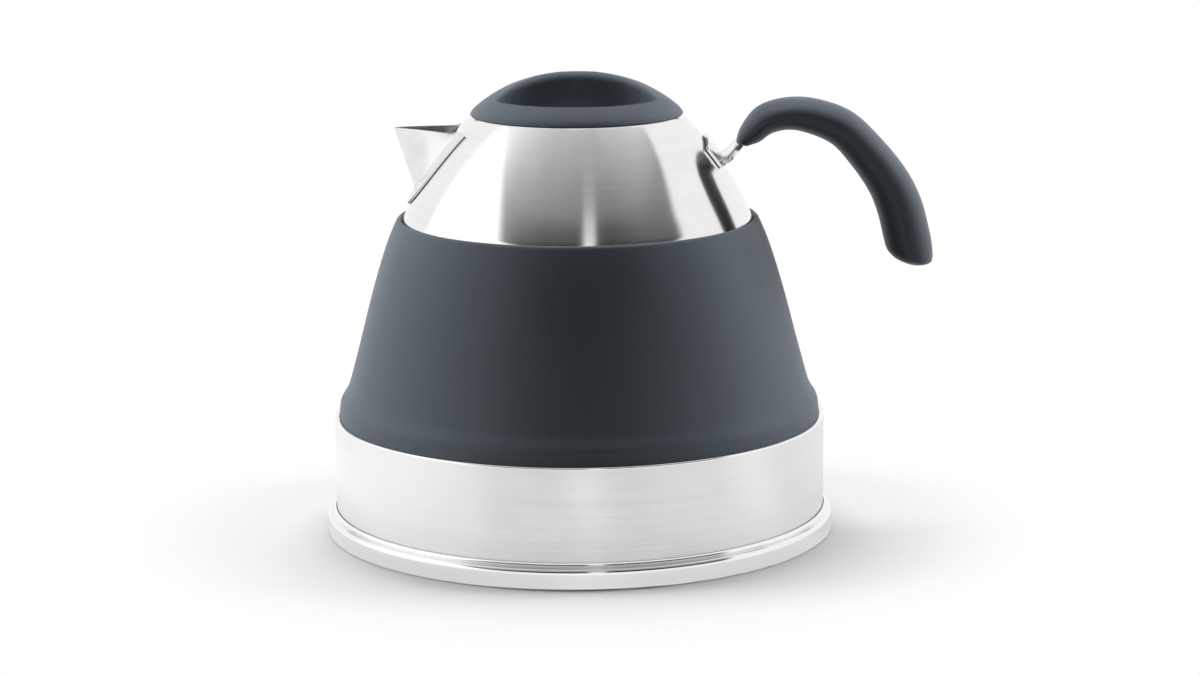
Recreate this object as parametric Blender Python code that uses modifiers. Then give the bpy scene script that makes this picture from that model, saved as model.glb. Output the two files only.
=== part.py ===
"""Collapsible camping kettle, modelled at its real size.

A bonded steel base carries a folding silicone wall, which carries a steel dome with a pressed
spout, a handle on a saddle-shaped bracket and a lift-off lid. Metres, +Z up. The origin is the centre of the
face that the kettle stands on, +X points to the handle and -X to the spout.
"""

import math

import bmesh
import bpy
from mathutils import Matrix, Vector

MM = 0.001

# General values
CLEARANCE = 0.3 * MM
MERGE = 0.01 * MM
OVERRUN = 3.0 * MM
SHEET = 0.8 * MM
LARGE_STEPS = 40
LID_INNER_STEPS = 28
SCREW_STEPS = 12
ARC_STEPS = 3

# Base: cap with flange, heat spreading core, pan with band
BASE_SIDE_HEIGHT = 5.7 * MM
BASE_SHOULDER = 1.9 * MM
BASE_FILLET = 1.3 * MM
BASE_CORNER = 0.8 * MM
CORE_THICKNESS = 3.6 * MM
CORE_CHAMFER = 1.2 * MM
BAND_RADIUS = 89.5 * MM
BAND_HEIGHT = 36.0 * MM
BAND_CORNER = 2.5 * MM
RIM_CURL = 0.7 * MM

# Folding wall
WALL_THICKNESS = 2.5 * MM
WALL_HEIGHT = 73.2 * MM
WALL_SETBACK = 0.55 * MM
FOOT_THICKNESS = 2.9 * MM
FOOT_DEPTH = 8.0 * MM
LIP_THICKNESS = 1.45 * MM
LIP_HEIGHT = 5.0 * MM
LIP_FLOOR = 1.6 * MM
# Shares of the way from the dome's edge out to the wall's foot, and from the wall's top down to the band
WALL_PROFILE_SHARES = (
    (0.018, 0.010),
    (0.047, 0.000),
    (0.087, 0.005),
    (0.122, 0.026),
    (0.203, 0.089),
    (0.300, 0.179),
    (0.418, 0.307),
    (0.519, 0.428),
    (0.658, 0.608),
    (0.809, 0.794),
    (0.870, 0.854),
    (0.965, 0.908),
    (0.987, 0.945),
    (1.000, 1.000),
)
# Rows of that table that the wall's inner face follows at its full thickness
WALL_INNER_ROWS = (5, 8, 9, 11)

# Dome, with the neck for the lid
DOME_EDGE_RADIUS = 63.25 * MM
DOME_SHOULDER_RADIUS = 38.2 * MM
DOME_HEIGHT = 37.4 * MM
DOME_BULGE = 2.1 * MM
DOME_STEPS = 6
SKIRT_STEP = 0.2 * MM
SKIRT_DEPTH = 8.0 * MM
RIM_WIDTH = 5.0 * MM
RIM_SLOPE_SHARE = 0.5
NECK_FILLET = 1.2 * MM
NECK_DEPTH = 10.4 * MM

# Clamp rings
RING_SHEET = 0.6 * MM
RING_HEIGHT = 6.0 * MM

# Lid
LID_OVERHANG = 0.2 * MM
LID_RISE = 15.3 * MM
LID_SHEET = 0.6 * MM
LID_DISH_DEPTH = 5.2 * MM
LID_DISH_CORNER = 1.0 * MM
LID_RIM_INSET = 2.2 * MM
COLLAR_DEPTH = 4.1 * MM
COLLAR_FLANGE = 2.0 * MM
GASKET_WIDTH = 2.4 * MM
GASKET_LIP = 0.7 * MM
# Shares of the lid's radius and of its rise over its edge
LID_PROFILE_SHARES = (
    (0.000, 1.000),
    (0.170, 0.976),
    (0.330, 0.896),
    (0.480, 0.782),
    (0.620, 0.648),
    (0.750, 0.490),
    (0.870, 0.317),
    (0.960, 0.140),
    (0.995, 0.035),
    (1.000, 0.010),
)
# Each scoop is cut by a tool with a D-shaped section: the round side is the scoop's lip, the straight
# side is the ridge. Shares of the tool's height, of its lip's radius and of the ridge's foot, floor first
SCOOP_DEPTH = 13.8 * MM
SCOOP_RADIUS = 32.6 * MM
SCOOP_CORNER = 4.0 * MM
RIDGE_FOOT_HALF = 8.6 * MM
SCOOP_LEVEL_SHARES = (
    (0.00, 0.782, 1.00),
    (0.055, 0.877, 0.84),
    (0.16, 0.936, 0.70),
    (0.34, 0.969, 0.57),
    (0.61, 0.988, 0.455),
    (1.00, 1.000, 0.35),
)
SCOOP_CORNER_STEPS = 4
SCOOP_LIP_STEPS = 12

# Spout, placed by drops below the dome's shoulder
SPOUT_SHEET = 0.7 * MM
SPOUT_TIP_REACH = 21.5 * MM
SPOUT_TIP_DROP = 4.4 * MM
SPOUT_ROOT_DROP = 5.5 * MM
SPOUT_KEEL_DROP = 27.7 * MM
SPOUT_FLANGE_DROP = 33.3 * MM
SPOUT_HALF_WIDTH = 8.8 * MM
SPOUT_FLANGE_WIDTH = 9.1 * MM
SPOUT_ROWS = 7
SPOUT_TOE_ROWS = 2
SPOUT_SIDE_COLUMNS = 4
SPOUT_ROOT_POWER = 2.2
SPOUT_FLANGE_POWER = 2.6
STRAINER_RADIUS = 1.25 * MM
STRAINER_PITCH = 3.7 * MM
STRAINER_DROP = 9.9 * MM
STRAINER_ROWS = (4, 3, 2, 1)
STRAINER_SIDES = 6

# Handle bracket: a saddle on the dome that rises into a channel. Its pieces are placed in the handle's
# frame: down the dome from the handle's height, across it, and out along its normal
HANDLE_DROP = 12.3 * MM
BRACKET_SHEET = 1.1 * MM
SADDLE_HALF_WIDTH = 15.0 * MM
SADDLE_RISE = 5.1 * MM
SADDLE_DROP = 7.5 * MM
# Shares of the saddle's half width, of its rise over the handle's height and of its drop below
SADDLE_SHARES = (
    (1.000, 0.12, 0.78),
    (0.965, 0.26, 0.95),
    (0.880, 0.37, 1.00),
    (0.640, 0.60, 1.00),
    (0.340, 0.87, 1.00),
    (0.000, 1.00, 1.00),
)
ARM_ROOT_WIDTH = 15.0 * MM
ARM_WIDTH = 11.5 * MM
ARM_DEPTH = 2.5 * MM
ARM_DROP = 4.9 * MM
ARM_ROOT_SPREAD = 2.4 * MM
ARM_ROOT_FILLET = 1.2 * MM
ARM_RISE = 7.0 * MM
ARM_BEND_BACK = 0.85 * MM
# Shares of the arm's rise, of its way back up the dome there, of its widening and of its walls' spread
ARM_SHARES = (
    (0.28, 0.00, 1.00, 0.45),
    (0.48, 0.00, 0.95, 0.12),
    (0.72, 0.40, 0.80, 0.00),
    (1.00, 1.00, 0.50, 0.00),
)
TANG_SETBACK = 0.5 * MM
TANG_LENGTH_SHARE = 0.46

# Grip. Its start is placed in the handle's frame too
GRIP_START_RISE = 9.6 * MM
GRIP_START_DROP = 5.6 * MM
GRIP_REACH = 61.9 * MM
GRIP_DROP = 44.6 * MM
GRIP_THICKNESS = 17.1 * MM
GRIP_WIDTH = 25.0 * MM
GRIP_ROUNDNESS = 2.5
GRIP_SIDE_STEPS = 8
# Shares of the grip's reach, of its drop (negative is down), of its thickness and of its width, where
# its seam lies as a share of the thickness there, up from the middle, and its slope there in degrees
GRIP_STATION_SHARES = (
    (0.000, 0.000, 0.27, 0.66, 0.12, 70.0),
    (0.047, 0.074, 0.50, 0.76, -0.03, 46.0),
    (0.132, 0.184, 0.63, 0.84, -0.07, 31.0),
    (0.262, 0.233, 0.67, 0.90, -0.06, 3.0),
    (0.409, 0.211, 0.74, 0.94, -0.06, -17.0),
    (0.583, 0.110, 0.80, 0.98, -0.06, -33.0),
    (0.728, -0.093, 0.85, 1.00, -0.06, -47.0),
    (0.847, -0.314, 0.91, 1.00, -0.06, -58.0),
    (0.918, -0.522, 0.965, 0.99, -0.06, -68.0),
    (0.961, -0.744, 0.98, 0.97, -0.06, -78.0),
    (0.981, -0.866, 0.965, 0.93, -0.06, -86.0),
    (0.998, -0.940, 0.87, 0.86, -0.06, -92.0),
    (1.008, -0.978, 0.72, 0.73, -0.06, -95.0),
    (1.013, -1.003, 0.42, 0.45, -0.06, -95.0),
)
GRIP_STEPS_BETWEEN = 2
GRIP_TIP_ROWS = 4
SCREW_STATION_SHARES = (0.200, 0.377)
SCREW_RADIUS = 1.4 * MM
SCREW_HEAD_RADIUS = 2.6 * MM
SCREW_HEAD_HEIGHT = 1.5 * MM
SCREW_HEAD_CROWN_SHARE = 0.8
SCREW_HEAD_RECESS = 1.0 * MM
SCREW_BITE = 2.0 * MM

# Places worked out from the sizes above, from the bottom up
CAP_LIP_RADIUS = BAND_RADIUS + CLEARANCE
BASE_RADIUS = CAP_LIP_RADIUS + BASE_FILLET + BASE_SHOULDER
PAN_FLOOR = SHEET + CORE_THICKNESS + 2 * CLEARANCE
BAND_TOP = PAN_FLOOR + BAND_HEIGHT
BAND_INNER_RADIUS = BAND_RADIUS - SHEET
WALL_FOOT_RADIUS = BAND_INNER_RADIUS - CLEARANCE
WALL_BOTTOM_RADIUS = WALL_FOOT_RADIUS - WALL_SETBACK
WALL_BOTTOM = BAND_TOP + CLEARANCE
WALL_TOP = WALL_BOTTOM + WALL_HEIGHT
SKIRT_RADIUS = DOME_EDGE_RADIUS + SKIRT_STEP
SKIRT_BOTTOM = WALL_TOP - SKIRT_DEPTH
SHOULDER_TOP = WALL_TOP + DOME_HEIGHT
NECK_TOP = SHOULDER_TOP + RIM_WIDTH * RIM_SLOPE_SHARE
NECK_RADIUS = DOME_SHOULDER_RADIUS - RIM_WIDTH - NECK_FILLET
LID_RADIUS = DOME_SHOULDER_RADIUS + LID_OVERHANG
LID_RIM_RADIUS = DOME_SHOULDER_RADIUS - LID_RIM_INSET
LID_TOP = SHOULDER_TOP + LID_RISE
COLLAR_RADIUS = NECK_RADIUS - 2 * CLEARANCE - GASKET_WIDTH
TANG_WIDTH = ARM_WIDTH - 2 * TANG_SETBACK
HANDLE_HEIGHT = SHOULDER_TOP - HANDLE_DROP

COLLECTION = "collapsible_kettle"
CUTTERS = "cutters"

COLOURS = {
    "brushed_steel": ((0.72, 0.72, 0.71, 1.0), 1.0, 0.30),
    "polished_steel": ((0.80, 0.80, 0.79, 1.0), 1.0, 0.12),
    "aluminium": ((0.75, 0.76, 0.77, 1.0), 1.0, 0.45),
    "silicone": ((0.055, 0.065, 0.078, 1.0), 0.0, 0.55),
    "clear_silicone": ((0.60, 0.61, 0.60, 1.0), 0.0, 0.45),
    "grip_nylon": ((0.050, 0.058, 0.068, 1.0), 0.0, 0.50),
}


def clear_scene():
    for obj in list(bpy.data.objects):
        bpy.data.objects.remove(obj, do_unlink=True)


def collection_named(name):
    made = bpy.data.collections.new(name)
    bpy.context.scene.collection.children.link(made)
    return made


def material_for(node, finish):
    """A material of the node's own in one of the kettle's finishes."""
    colour, metallic, roughness = COLOURS[finish]
    made = bpy.data.materials.new(node + "_" + finish)
    made.use_nodes = True
    shader = made.node_tree.nodes["Principled BSDF"]
    shader.inputs["Base Color"].default_value = colour
    shader.inputs["Metallic"].default_value = metallic
    shader.inputs["Roughness"].default_value = roughness
    return made


def object_from(bm, name, finish, parent=None):
    """A node in the kettle's collection."""
    mesh = bpy.data.meshes.new(name)
    bm.to_mesh(mesh)
    bm.free()
    mesh.shade_smooth()
    if mesh.polygons:
        mesh.set_sharp_from_angle(angle=math.radians(35))
    mesh.materials.append(material_for(name, finish))
    obj = bpy.data.objects.new(name, mesh)
    bpy.data.collections[COLLECTION].objects.link(obj)
    if parent is not None:
        obj.parent = parent
    return obj


def cutter_from(bm, name):
    """A helper solid that a Boolean reads and no render shows."""
    mesh = bpy.data.meshes.new(name)
    bm.to_mesh(mesh)
    bm.free()
    obj = bpy.data.objects.new(name, mesh)
    bpy.data.collections[CUTTERS].objects.link(obj)
    obj.hide_render = True
    obj.display_type = "WIRE"
    return obj


def boolean(obj, cutter, operation="DIFFERENCE"):
    modifier = obj.modifiers.new(cutter.name, "BOOLEAN")
    modifier.object = cutter
    modifier.operation = operation
    modifier.solver = "EXACT"


def arc(centre, radius, start, end, steps=ARC_STEPS):
    """Points on an arc in the plane of (r, z), from one angle in degrees to another."""
    points = []
    for step in range(steps + 1):
        angle = math.radians(start + (end - start) * step / steps)
        points.append((centre[0] + radius * math.cos(angle), centre[1] + radius * math.sin(angle)))
    return points


def offset(path, distance):
    """The path moved to its left by distance: outwards, where it runs down an outer side."""
    moved = []
    for i, point in enumerate(path):
        normals = []
        for a, b in ((i - 1, i), (i, i + 1)):
            if a < 0 or b >= len(path):
                continue
            run = Vector((path[b][0] - path[a][0], path[b][1] - path[a][1])).normalized()
            normals.append(Vector((-run.y, run.x)))
        normal = sum(normals, Vector((0.0, 0.0))).normalized()
        stretch = distance / normal.dot(normals[0])
        moved.append((point[0] + normal.x * stretch, point[1] + normal.y * stretch))
    return moved


def on_axis(point):
    return (0.0, point[1])


def wall_outline(path, thickness):
    """The outline of a sheet whose outer face is the path, which runs down its outer side."""
    inner = offset(path, -thickness)
    if path[-1][0] == 0.0:
        inner[-1] = on_axis(inner[-1])
    if path[0][0] == 0.0:
        inner[0] = on_axis(inner[0])
        return path + inner[::-1]
    return inner[::-1] + path


def profile_mesh(outline):
    """Edges through the outline, which close unless both ends lie on the axis."""
    bm = bmesh.new()
    verts = [bm.verts.new((r, 0.0, z)) for r, z in outline]
    closed = outline[0][0] > 0.0 or outline[-1][0] > 0.0
    for a, b in zip(verts, verts[1:] + verts[:1] if closed else verts[1:]):
        bm.edges.new((a, b))
    return bm


def screw(obj, steps):
    modifier = obj.modifiers.new("turn", "SCREW")
    modifier.axis = "Z"
    modifier.angle = math.radians(360)
    modifier.steps = steps
    modifier.render_steps = steps
    modifier.use_merge_vertices = True
    modifier.merge_threshold = MERGE
    modifier.use_smooth_shade = True


def turned(name, outline, finish, steps=LARGE_STEPS, parent=None, matrix=None):
    """A turned node. With a matrix it is turned about that frame's Z axis instead of the kettle's."""
    obj = object_from(profile_mesh(outline), name, finish, parent)
    if matrix is not None:
        obj.matrix_basis = matrix
    screw(obj, steps)
    return obj


def turned_cutter(name, outline, steps, matrix):
    obj = cutter_from(profile_mesh(outline), name)
    obj.matrix_basis = matrix
    screw(obj, steps)
    return obj


def loft(rings, closed_ends=True):
    """A solid through rings of equal length, each a list of points that runs round the shape."""
    bm = bmesh.new()
    made = [[bm.verts.new(point) for point in ring] for ring in rings]
    count = len(made[0])
    for low, high in zip(made, made[1:]):
        for i in range(count):
            j = (i + 1) % count
            bm.faces.new((low[i], low[j], high[j], high[i]))
    if closed_ends:
        bm.faces.new(made[0][::-1])
        bm.faces.new(made[-1])
    bmesh.ops.recalc_face_normals(bm, faces=bm.faces)
    return bm


def lerp(a, b, share):
    return a + (b - a) * share


def table_row(table, place):
    """A row between the table's rows, on a smooth curve through them."""
    index = min(int(place), len(table) - 2)
    t = place - index
    rows = [table[min(max(index + k, 0), len(table) - 1)] for k in (-1, 0, 1, 2)]
    found = []
    for a, b, c, d in zip(*rows):
        found.append(
            0.5 * (2 * b + (c - a) * t + (2 * a - 5 * b + 4 * c - d) * t**2 + (3 * b - a - 3 * c + d) * t**3)
        )
    return found


# The dome's profile is one arc from its shoulder to its edge
def dome_arc():
    top = Vector((DOME_SHOULDER_RADIUS, SHOULDER_TOP))
    edge = Vector((DOME_EDGE_RADIUS, WALL_TOP))
    chord = (edge - top).length
    radius = chord**2 / (8 * DOME_BULGE) + DOME_BULGE / 2
    along = (edge - top).normalized()
    outwards = Vector((-along.y, along.x))
    centre = (top + edge) / 2 - outwards * (radius - DOME_BULGE)
    return centre, radius


def dome_radius(z):
    centre, radius = dome_arc()
    return centre.x + math.sqrt(radius**2 - (z - centre.y) ** 2)


def dome_normal(z):
    """The dome's normal on the handle's side, at this height."""
    centre, _ = dome_arc()
    return Vector((dome_radius(z) - centre.x, 0.0, z - centre.y)).normalized()


def dome_path():
    """From the neck's lower end up its inner face, over the mouth and down the dome to the skirt's end."""
    centre, radius = dome_arc()
    start = math.degrees(math.atan2(SHOULDER_TOP - centre.y, DOME_SHOULDER_RADIUS - centre.x))
    end = math.degrees(math.atan2(WALL_TOP - centre.y, DOME_EDGE_RADIUS - centre.x))
    fillet_centre = (NECK_RADIUS + NECK_FILLET, NECK_TOP - NECK_FILLET)
    path = [(NECK_RADIUS, NECK_TOP - NECK_DEPTH)]
    path += arc(fillet_centre, NECK_FILLET, 180, 90)
    path += arc(centre, radius, start, end, DOME_STEPS)
    path += [(SKIRT_RADIUS, WALL_TOP - SHEET), (SKIRT_RADIUS, SKIRT_BOTTOM)]
    return path


# Base
def base_cap():
    inner_radius = BASE_RADIUS - SHEET
    shoulder_centre = (BASE_RADIUS - BASE_SHOULDER, BASE_SIDE_HEIGHT)
    fillet_centre = (CAP_LIP_RADIUS + BASE_FILLET, BASE_SIDE_HEIGHT + BASE_SHOULDER + BASE_FILLET)
    corner_centre = (BASE_RADIUS - BASE_CORNER, BASE_CORNER)
    outline = [(0.0, SHEET), (inner_radius - BASE_CORNER, SHEET), (inner_radius, SHEET + BASE_CORNER)]
    outline += arc(shoulder_centre, BASE_SHOULDER - SHEET, 0, 90)
    outline += [(CAP_LIP_RADIUS, BASE_SIDE_HEIGHT + BASE_SHOULDER)]
    outline += arc(fillet_centre, BASE_FILLET, 180, 270)
    outline += arc(shoulder_centre, BASE_SHOULDER, 90, 0)[1:]
    outline += arc(corner_centre, BASE_CORNER, 0, -90, 2)
    outline += [(0.0, 0.0)]
    return turned("base_cap", outline, "polished_steel")


def base_core_disc():
    radius = BASE_RADIUS - SHEET - CLEARANCE
    low = SHEET + CLEARANCE
    high = low + CORE_THICKNESS
    outline = [(0.0, high), (radius, high), (radius, low + CORE_CHAMFER), (radius - CORE_CHAMFER, low), (0.0, low)]
    return turned("base_core_disc", outline, "aluminium")


def base_pan():
    path = [(BAND_RADIUS - RIM_CURL, BAND_TOP)]
    path += arc((BAND_RADIUS - RIM_CURL, BAND_TOP - RIM_CURL), RIM_CURL, 60, 0, 2)
    path += arc((BAND_RADIUS - BAND_CORNER, PAN_FLOOR + BAND_CORNER), BAND_CORNER, 0, -90)
    path += [(0.0, PAN_FLOOR)]
    outline = wall_outline(path, SHEET)
    # The rim's inner edge stays on the band's inner face
    outline = [(min(r, BAND_INNER_RADIUS), z) if i < len(path) else (r, z) for i, (r, z) in enumerate(outline)]
    return turned("base_pan", outline, "brushed_steel")


def lower_clamp_ring():
    """An angle ring: its flange meets the band, and its upright presses the silicone's foot to it."""
    upright = WALL_FOOT_RADIUS - FOOT_THICKNESS - CLEARANCE
    top = BAND_TOP
    floor = WALL_BOTTOM - FOOT_DEPTH - CLEARANCE
    path = [(upright, top), (upright, floor), (WALL_FOOT_RADIUS, floor)]
    return turned("lower_clamp_ring", wall_outline(path, RING_SHEET), "brushed_steel")


# Folding wall
def wall_point(row):
    radius_share, height_share = row
    return (
        lerp(DOME_EDGE_RADIUS, WALL_BOTTOM_RADIUS, radius_share),
        lerp(WALL_TOP, WALL_BOTTOM, height_share),
    )


def silicone_body():
    outer = [wall_point(row) for row in WALL_PROFILE_SHARES]
    foot_low = WALL_BOTTOM - FOOT_DEPTH
    foot_inner = WALL_FOOT_RADIUS - FOOT_THICKNESS
    moved = offset(outer, -WALL_THICKNESS)
    inner = [moved[row] for row in WALL_INNER_ROWS]
    groove_outer = SKIRT_RADIUS + CLEARANCE
    groove_inner = SKIRT_RADIUS - SHEET - CLEARANCE
    groove_floor = SKIRT_BOTTOM - CLEARANCE
    lip_top = groove_floor + LIP_HEIGHT
    lip_inner = groove_inner - LIP_THICKNESS
    outline = [(WALL_FOOT_RADIUS, WALL_BOTTOM - WALL_THICKNESS / 2), (WALL_FOOT_RADIUS, foot_low)]
    outline += [(foot_inner, foot_low), (foot_inner, WALL_BOTTOM + WALL_THICKNESS)]
    outline += inner[::-1]
    outline += [(lip_inner, groove_floor - LIP_FLOOR), (lip_inner, lip_top), (groove_inner, lip_top)]
    outline += [(groove_inner, groove_floor), (groove_outer, groove_floor)]
    outline += [(groove_outer, outer[0][1])]
    outline += outer[1:]
    return turned("silicone_body", outline, "silicone")


# Dome and what is fixed to it
def strainer_holes():
    """Rows of holes through the dome behind the spout, one cutter for all of them."""
    bm = bmesh.new()
    turn = Matrix.Rotation(math.radians(90), 4, "Y")
    for row, count in enumerate(STRAINER_ROWS):
        z = SHOULDER_TOP - STRAINER_DROP - STRAINER_PITCH * row
        for i in range(count):
            y = STRAINER_PITCH * (i - (count - 1) / 2)
            centre = Vector((-dome_radius(z), y, z))
            bmesh.ops.create_cone(
                bm,
                cap_ends=True,
                segments=STRAINER_SIDES,
                radius1=STRAINER_RADIUS,
                radius2=STRAINER_RADIUS,
                depth=2 * OVERRUN,
                matrix=Matrix.Translation(centre) @ turn,
            )
    return cutter_from(bm, "strainer_cutter")


def upper_shell(parent):
    obj = turned("upper_shell", wall_outline(dome_path(), SHEET), "brushed_steel", parent=parent)
    boolean(obj, strainer_holes())
    return obj


def upper_clamp_ring(parent):
    """An angle ring: its flange meets the skirt, and its upright presses the silicone's lip to it."""
    upright = SKIRT_RADIUS - SHEET - LIP_THICKNESS - 2 * CLEARANCE
    flange = SKIRT_BOTTOM - CLEARANCE + LIP_HEIGHT + CLEARANCE
    path = [(SKIRT_RADIUS - SHEET - CLEARANCE, flange), (upright, flange), (upright, flange - RING_HEIGHT)]
    return turned("upper_clamp_ring", wall_outline(path, RING_SHEET), "brushed_steel", parent=parent)


def on_dome(y, z, lift):
    """A point over the dome on the spout's side."""
    return Vector((-math.sqrt((dome_radius(z) + lift) ** 2 - y**2), y, z))


def tapering(share, power):
    """1 at the top, falling to 0 at the bottom along a rounded outline."""
    return math.sqrt(max(1.0 - share**power, 0.0))


def flange_edge(z):
    """How far the flange reaches to each side at this height."""
    share = (SHOULDER_TOP - SPOUT_ROOT_DROP - z) / (SPOUT_FLANGE_DROP - SPOUT_ROOT_DROP)
    return (SPOUT_HALF_WIDTH + SPOUT_FLANGE_WIDTH) * tapering(share, SPOUT_FLANGE_POWER)


def spout_row(share, lift):
    """One level of the spout's half at -Y, from the flange's edge to the keel."""
    z = SHOULDER_TOP - lerp(SPOUT_ROOT_DROP, SPOUT_KEEL_DROP, share)
    edge = flange_edge(z)
    half = SPOUT_HALF_WIDTH * tapering(share, SPOUT_ROOT_POWER)
    root = on_dome(-half, z, lift)
    keel_low = on_dome(0.0, SHOULDER_TOP - SPOUT_KEEL_DROP, lift)
    tip = on_dome(0.0, SHOULDER_TOP - SPOUT_ROOT_DROP, lift) - Vector((SPOUT_TIP_REACH, 0.0, 0.0))
    keel_z = lerp(SHOULDER_TOP - SPOUT_TIP_DROP, keel_low.z, share)
    keel_x = lerp(tip.x, keel_low.x, share)
    points = [on_dome(-edge, z, lift), on_dome(-(edge + half) / 2, z, lift), root]
    for column in range(SPOUT_SIDE_COLUMNS - 1, -1, -1):
        q = column / SPOUT_SIDE_COLUMNS
        x = lerp(keel_x, root.x, q**2)
        points.append(Vector((x, -half * q**1.5, lerp(keel_z, z, q**2))))
    return points


def spout_toe_row(share, lift):
    """One level of the flange under the keel."""
    z = SHOULDER_TOP - lerp(SPOUT_KEEL_DROP, SPOUT_FLANGE_DROP, share)
    edge = flange_edge(z)
    count = SPOUT_SIDE_COLUMNS + 3
    return [on_dome(-edge * (1 - i / (count - 1)), z, lift) for i in range(count)]


def spout(parent):
    """Half of the pressed sheet, mirrored, with its thickness outwards from the face on the dome."""
    rows = [spout_row(i / SPOUT_ROWS, CLEARANCE) for i in range(SPOUT_ROWS)]
    rows += [spout_toe_row(i / SPOUT_TOE_ROWS, CLEARANCE) for i in range(SPOUT_TOE_ROWS)]
    bm = bmesh.new()
    made = [[bm.verts.new(point) for point in row] for row in rows]
    toe = bm.verts.new(on_dome(0.0, SHOULDER_TOP - SPOUT_FLANGE_DROP, CLEARANCE))
    for high, low in zip(made, made[1:]):
        for i in range(len(high) - 1):
            bm.faces.new((high[i], high[i + 1], low[i + 1], low[i]))
    for a, b in zip(made[-1], made[-1][1:]):
        bm.faces.new((a, b, toe))
    obj = object_from(bm, "spout", "brushed_steel", parent)
    mirror = obj.modifiers.new("other_half", "MIRROR")
    mirror.use_axis = (False, True, False)
    mirror.merge_threshold = MERGE
    solidify = obj.modifiers.new("sheet", "SOLIDIFY")
    solidify.thickness = SPOUT_SHEET
    solidify.offset = 1.0
    solidify.use_even_offset = True
    return obj


# The handle's frame and the places over the dome round it
def handle_matrix():
    """On the dome at the handle's height: the Z axis is the dome's normal and the X axis runs down the dome."""
    normal = dome_normal(HANDLE_HEIGHT)
    down = Vector((normal.z, 0.0, -normal.x))
    matrix = Matrix((down, normal.cross(down), normal)).transposed().to_4x4()
    matrix.translation = Vector((dome_radius(HANDLE_HEIGHT), 0.0, HANDLE_HEIGHT))
    return matrix


def over_dome(drop, across, lift):
    """A point down the dome from the handle's height, across it, and lifted off it along its normal."""
    centre, radius = dome_arc()
    angle = math.asin((HANDLE_HEIGHT - centre.y) / radius) - drop / radius
    turn = math.asin(across / (centre.x + radius * math.cos(angle)))
    reach = centre.x + (radius + lift) * math.cos(angle)
    height = centre.y + (radius + lift) * math.sin(angle)
    return Vector((reach * math.cos(turn), reach * math.sin(turn), height))


# Grip stations: a point, the directions along and out of the grip, and the section's sizes
def grip_station(place):
    reach, drop, thick, wide, seam, slope = table_row(GRIP_STATION_SHARES, place)
    thickness = GRIP_THICKNESS * thick
    along = Vector((math.cos(math.radians(slope)), 0.0, math.sin(math.radians(slope))))
    start = handle_matrix() @ Vector((GRIP_START_DROP, 0.0, GRIP_START_RISE))
    return {
        "point": start + Vector((GRIP_REACH * reach, 0.0, GRIP_DROP * drop)),
        "along": along,
        "out": Vector((-along.z, 0.0, along.x)),
        "thickness": thickness,
        "width": GRIP_WIDTH * wide,
        "seam": thickness * seam,
    }


def grip_stations():
    """Rings between the table's rows as well, but for its last few, which lie close together."""
    spaced = len(GRIP_STATION_SHARES) - 1 - GRIP_TIP_ROWS
    places = [i / GRIP_STEPS_BETWEEN for i in range(spaced * GRIP_STEPS_BETWEEN)]
    return [grip_station(place) for place in places + [spaced + i for i in range(GRIP_TIP_ROWS + 1)]]


def tang_stations():
    """The grip's start, then places halfway between its rings, so that no edges fall on each other."""
    count = round((len(GRIP_STATION_SHARES) - 1) * GRIP_STEPS_BETWEEN * TANG_LENGTH_SHARE)
    return [grip_station(0.0)] + [grip_station((i + 0.5) / GRIP_STEPS_BETWEEN) for i in range(count)]


def grip_half_ring(station, side):
    """The section of one half: side is 1 for the upper shell and -1 for the lower."""
    half_wide = station["width"] / 2
    half_thick = station["thickness"] / 2
    level = station["seam"] + side * CLEARANCE / 2
    start = side * math.copysign(math.asin((abs(level) / half_thick) ** (GRIP_ROUNDNESS / 2)), level)
    ring = []
    for step in range(GRIP_SIDE_STEPS + 1):
        angle = lerp(start, math.pi - start, step / GRIP_SIDE_STEPS)
        across = math.copysign(abs(math.cos(angle)) ** (2 / GRIP_ROUNDNESS), math.cos(angle))
        rise = math.copysign(abs(math.sin(angle)) ** (2 / GRIP_ROUNDNESS), math.sin(angle))
        height = side * half_thick * rise
        ring.append(station["point"] + station["out"] * height + Vector((0.0, half_wide * across, 0.0)))
    return ring


def box_ring(station, low, high, width):
    """A rectangular section between two heights over the station's middle."""
    ring = []
    for y, height in ((-width / 2, low), (width / 2, low), (width / 2, high), (-width / 2, high)):
        ring.append(station["point"] + station["out"] * height + Vector((0.0, y, 0.0)))
    return ring


def tang_rings(spare, width):
    """The strip inside the grip, on the seam. With spare it is the pocket that takes it."""
    rings = []
    stations = tang_stations()
    for station in stations:
        low = station["seam"] + CLEARANCE
        deep = low - (OVERRUN if spare else 0.0)
        rings.append(box_ring(station, deep, low + BRACKET_SHEET + spare, width))
    reach = OVERRUN if spare else BRACKET_SHEET
    rings.insert(0, [point - stations[0]["along"] * reach for point in rings[0]])
    if spare:
        rings.append([point + stations[-1]["along"] * spare for point in rings[-1]])
    return rings


def screw_matrix(share):
    """A frame on the grip's seam: its Z axis points into the hand, away from the upper shell."""
    station = grip_station(share * (len(GRIP_STATION_SHARES) - 1))
    inwards = -station["out"]
    matrix = Matrix((station["along"], inwards.cross(station["along"]), inwards)).transposed().to_4x4()
    matrix.translation = station["point"] + station["out"] * station["seam"]
    depth = station["thickness"] / 2 + station["seam"]
    return matrix, depth


def grip_upper(parent):
    bm = loft([grip_half_ring(station, 1) for station in grip_stations()])
    obj = object_from(bm, "grip_upper", "grip_nylon", parent)
    boolean(obj, cutter_from(loft(tang_rings(CLEARANCE, TANG_WIDTH + 2 * CLEARANCE)), "tang_pocket_cutter"))
    return obj


def grip_lower(parent):
    bm = loft([grip_half_ring(station, -1) for station in grip_stations()])
    return object_from(bm, "grip_lower", "grip_nylon", parent)


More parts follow.
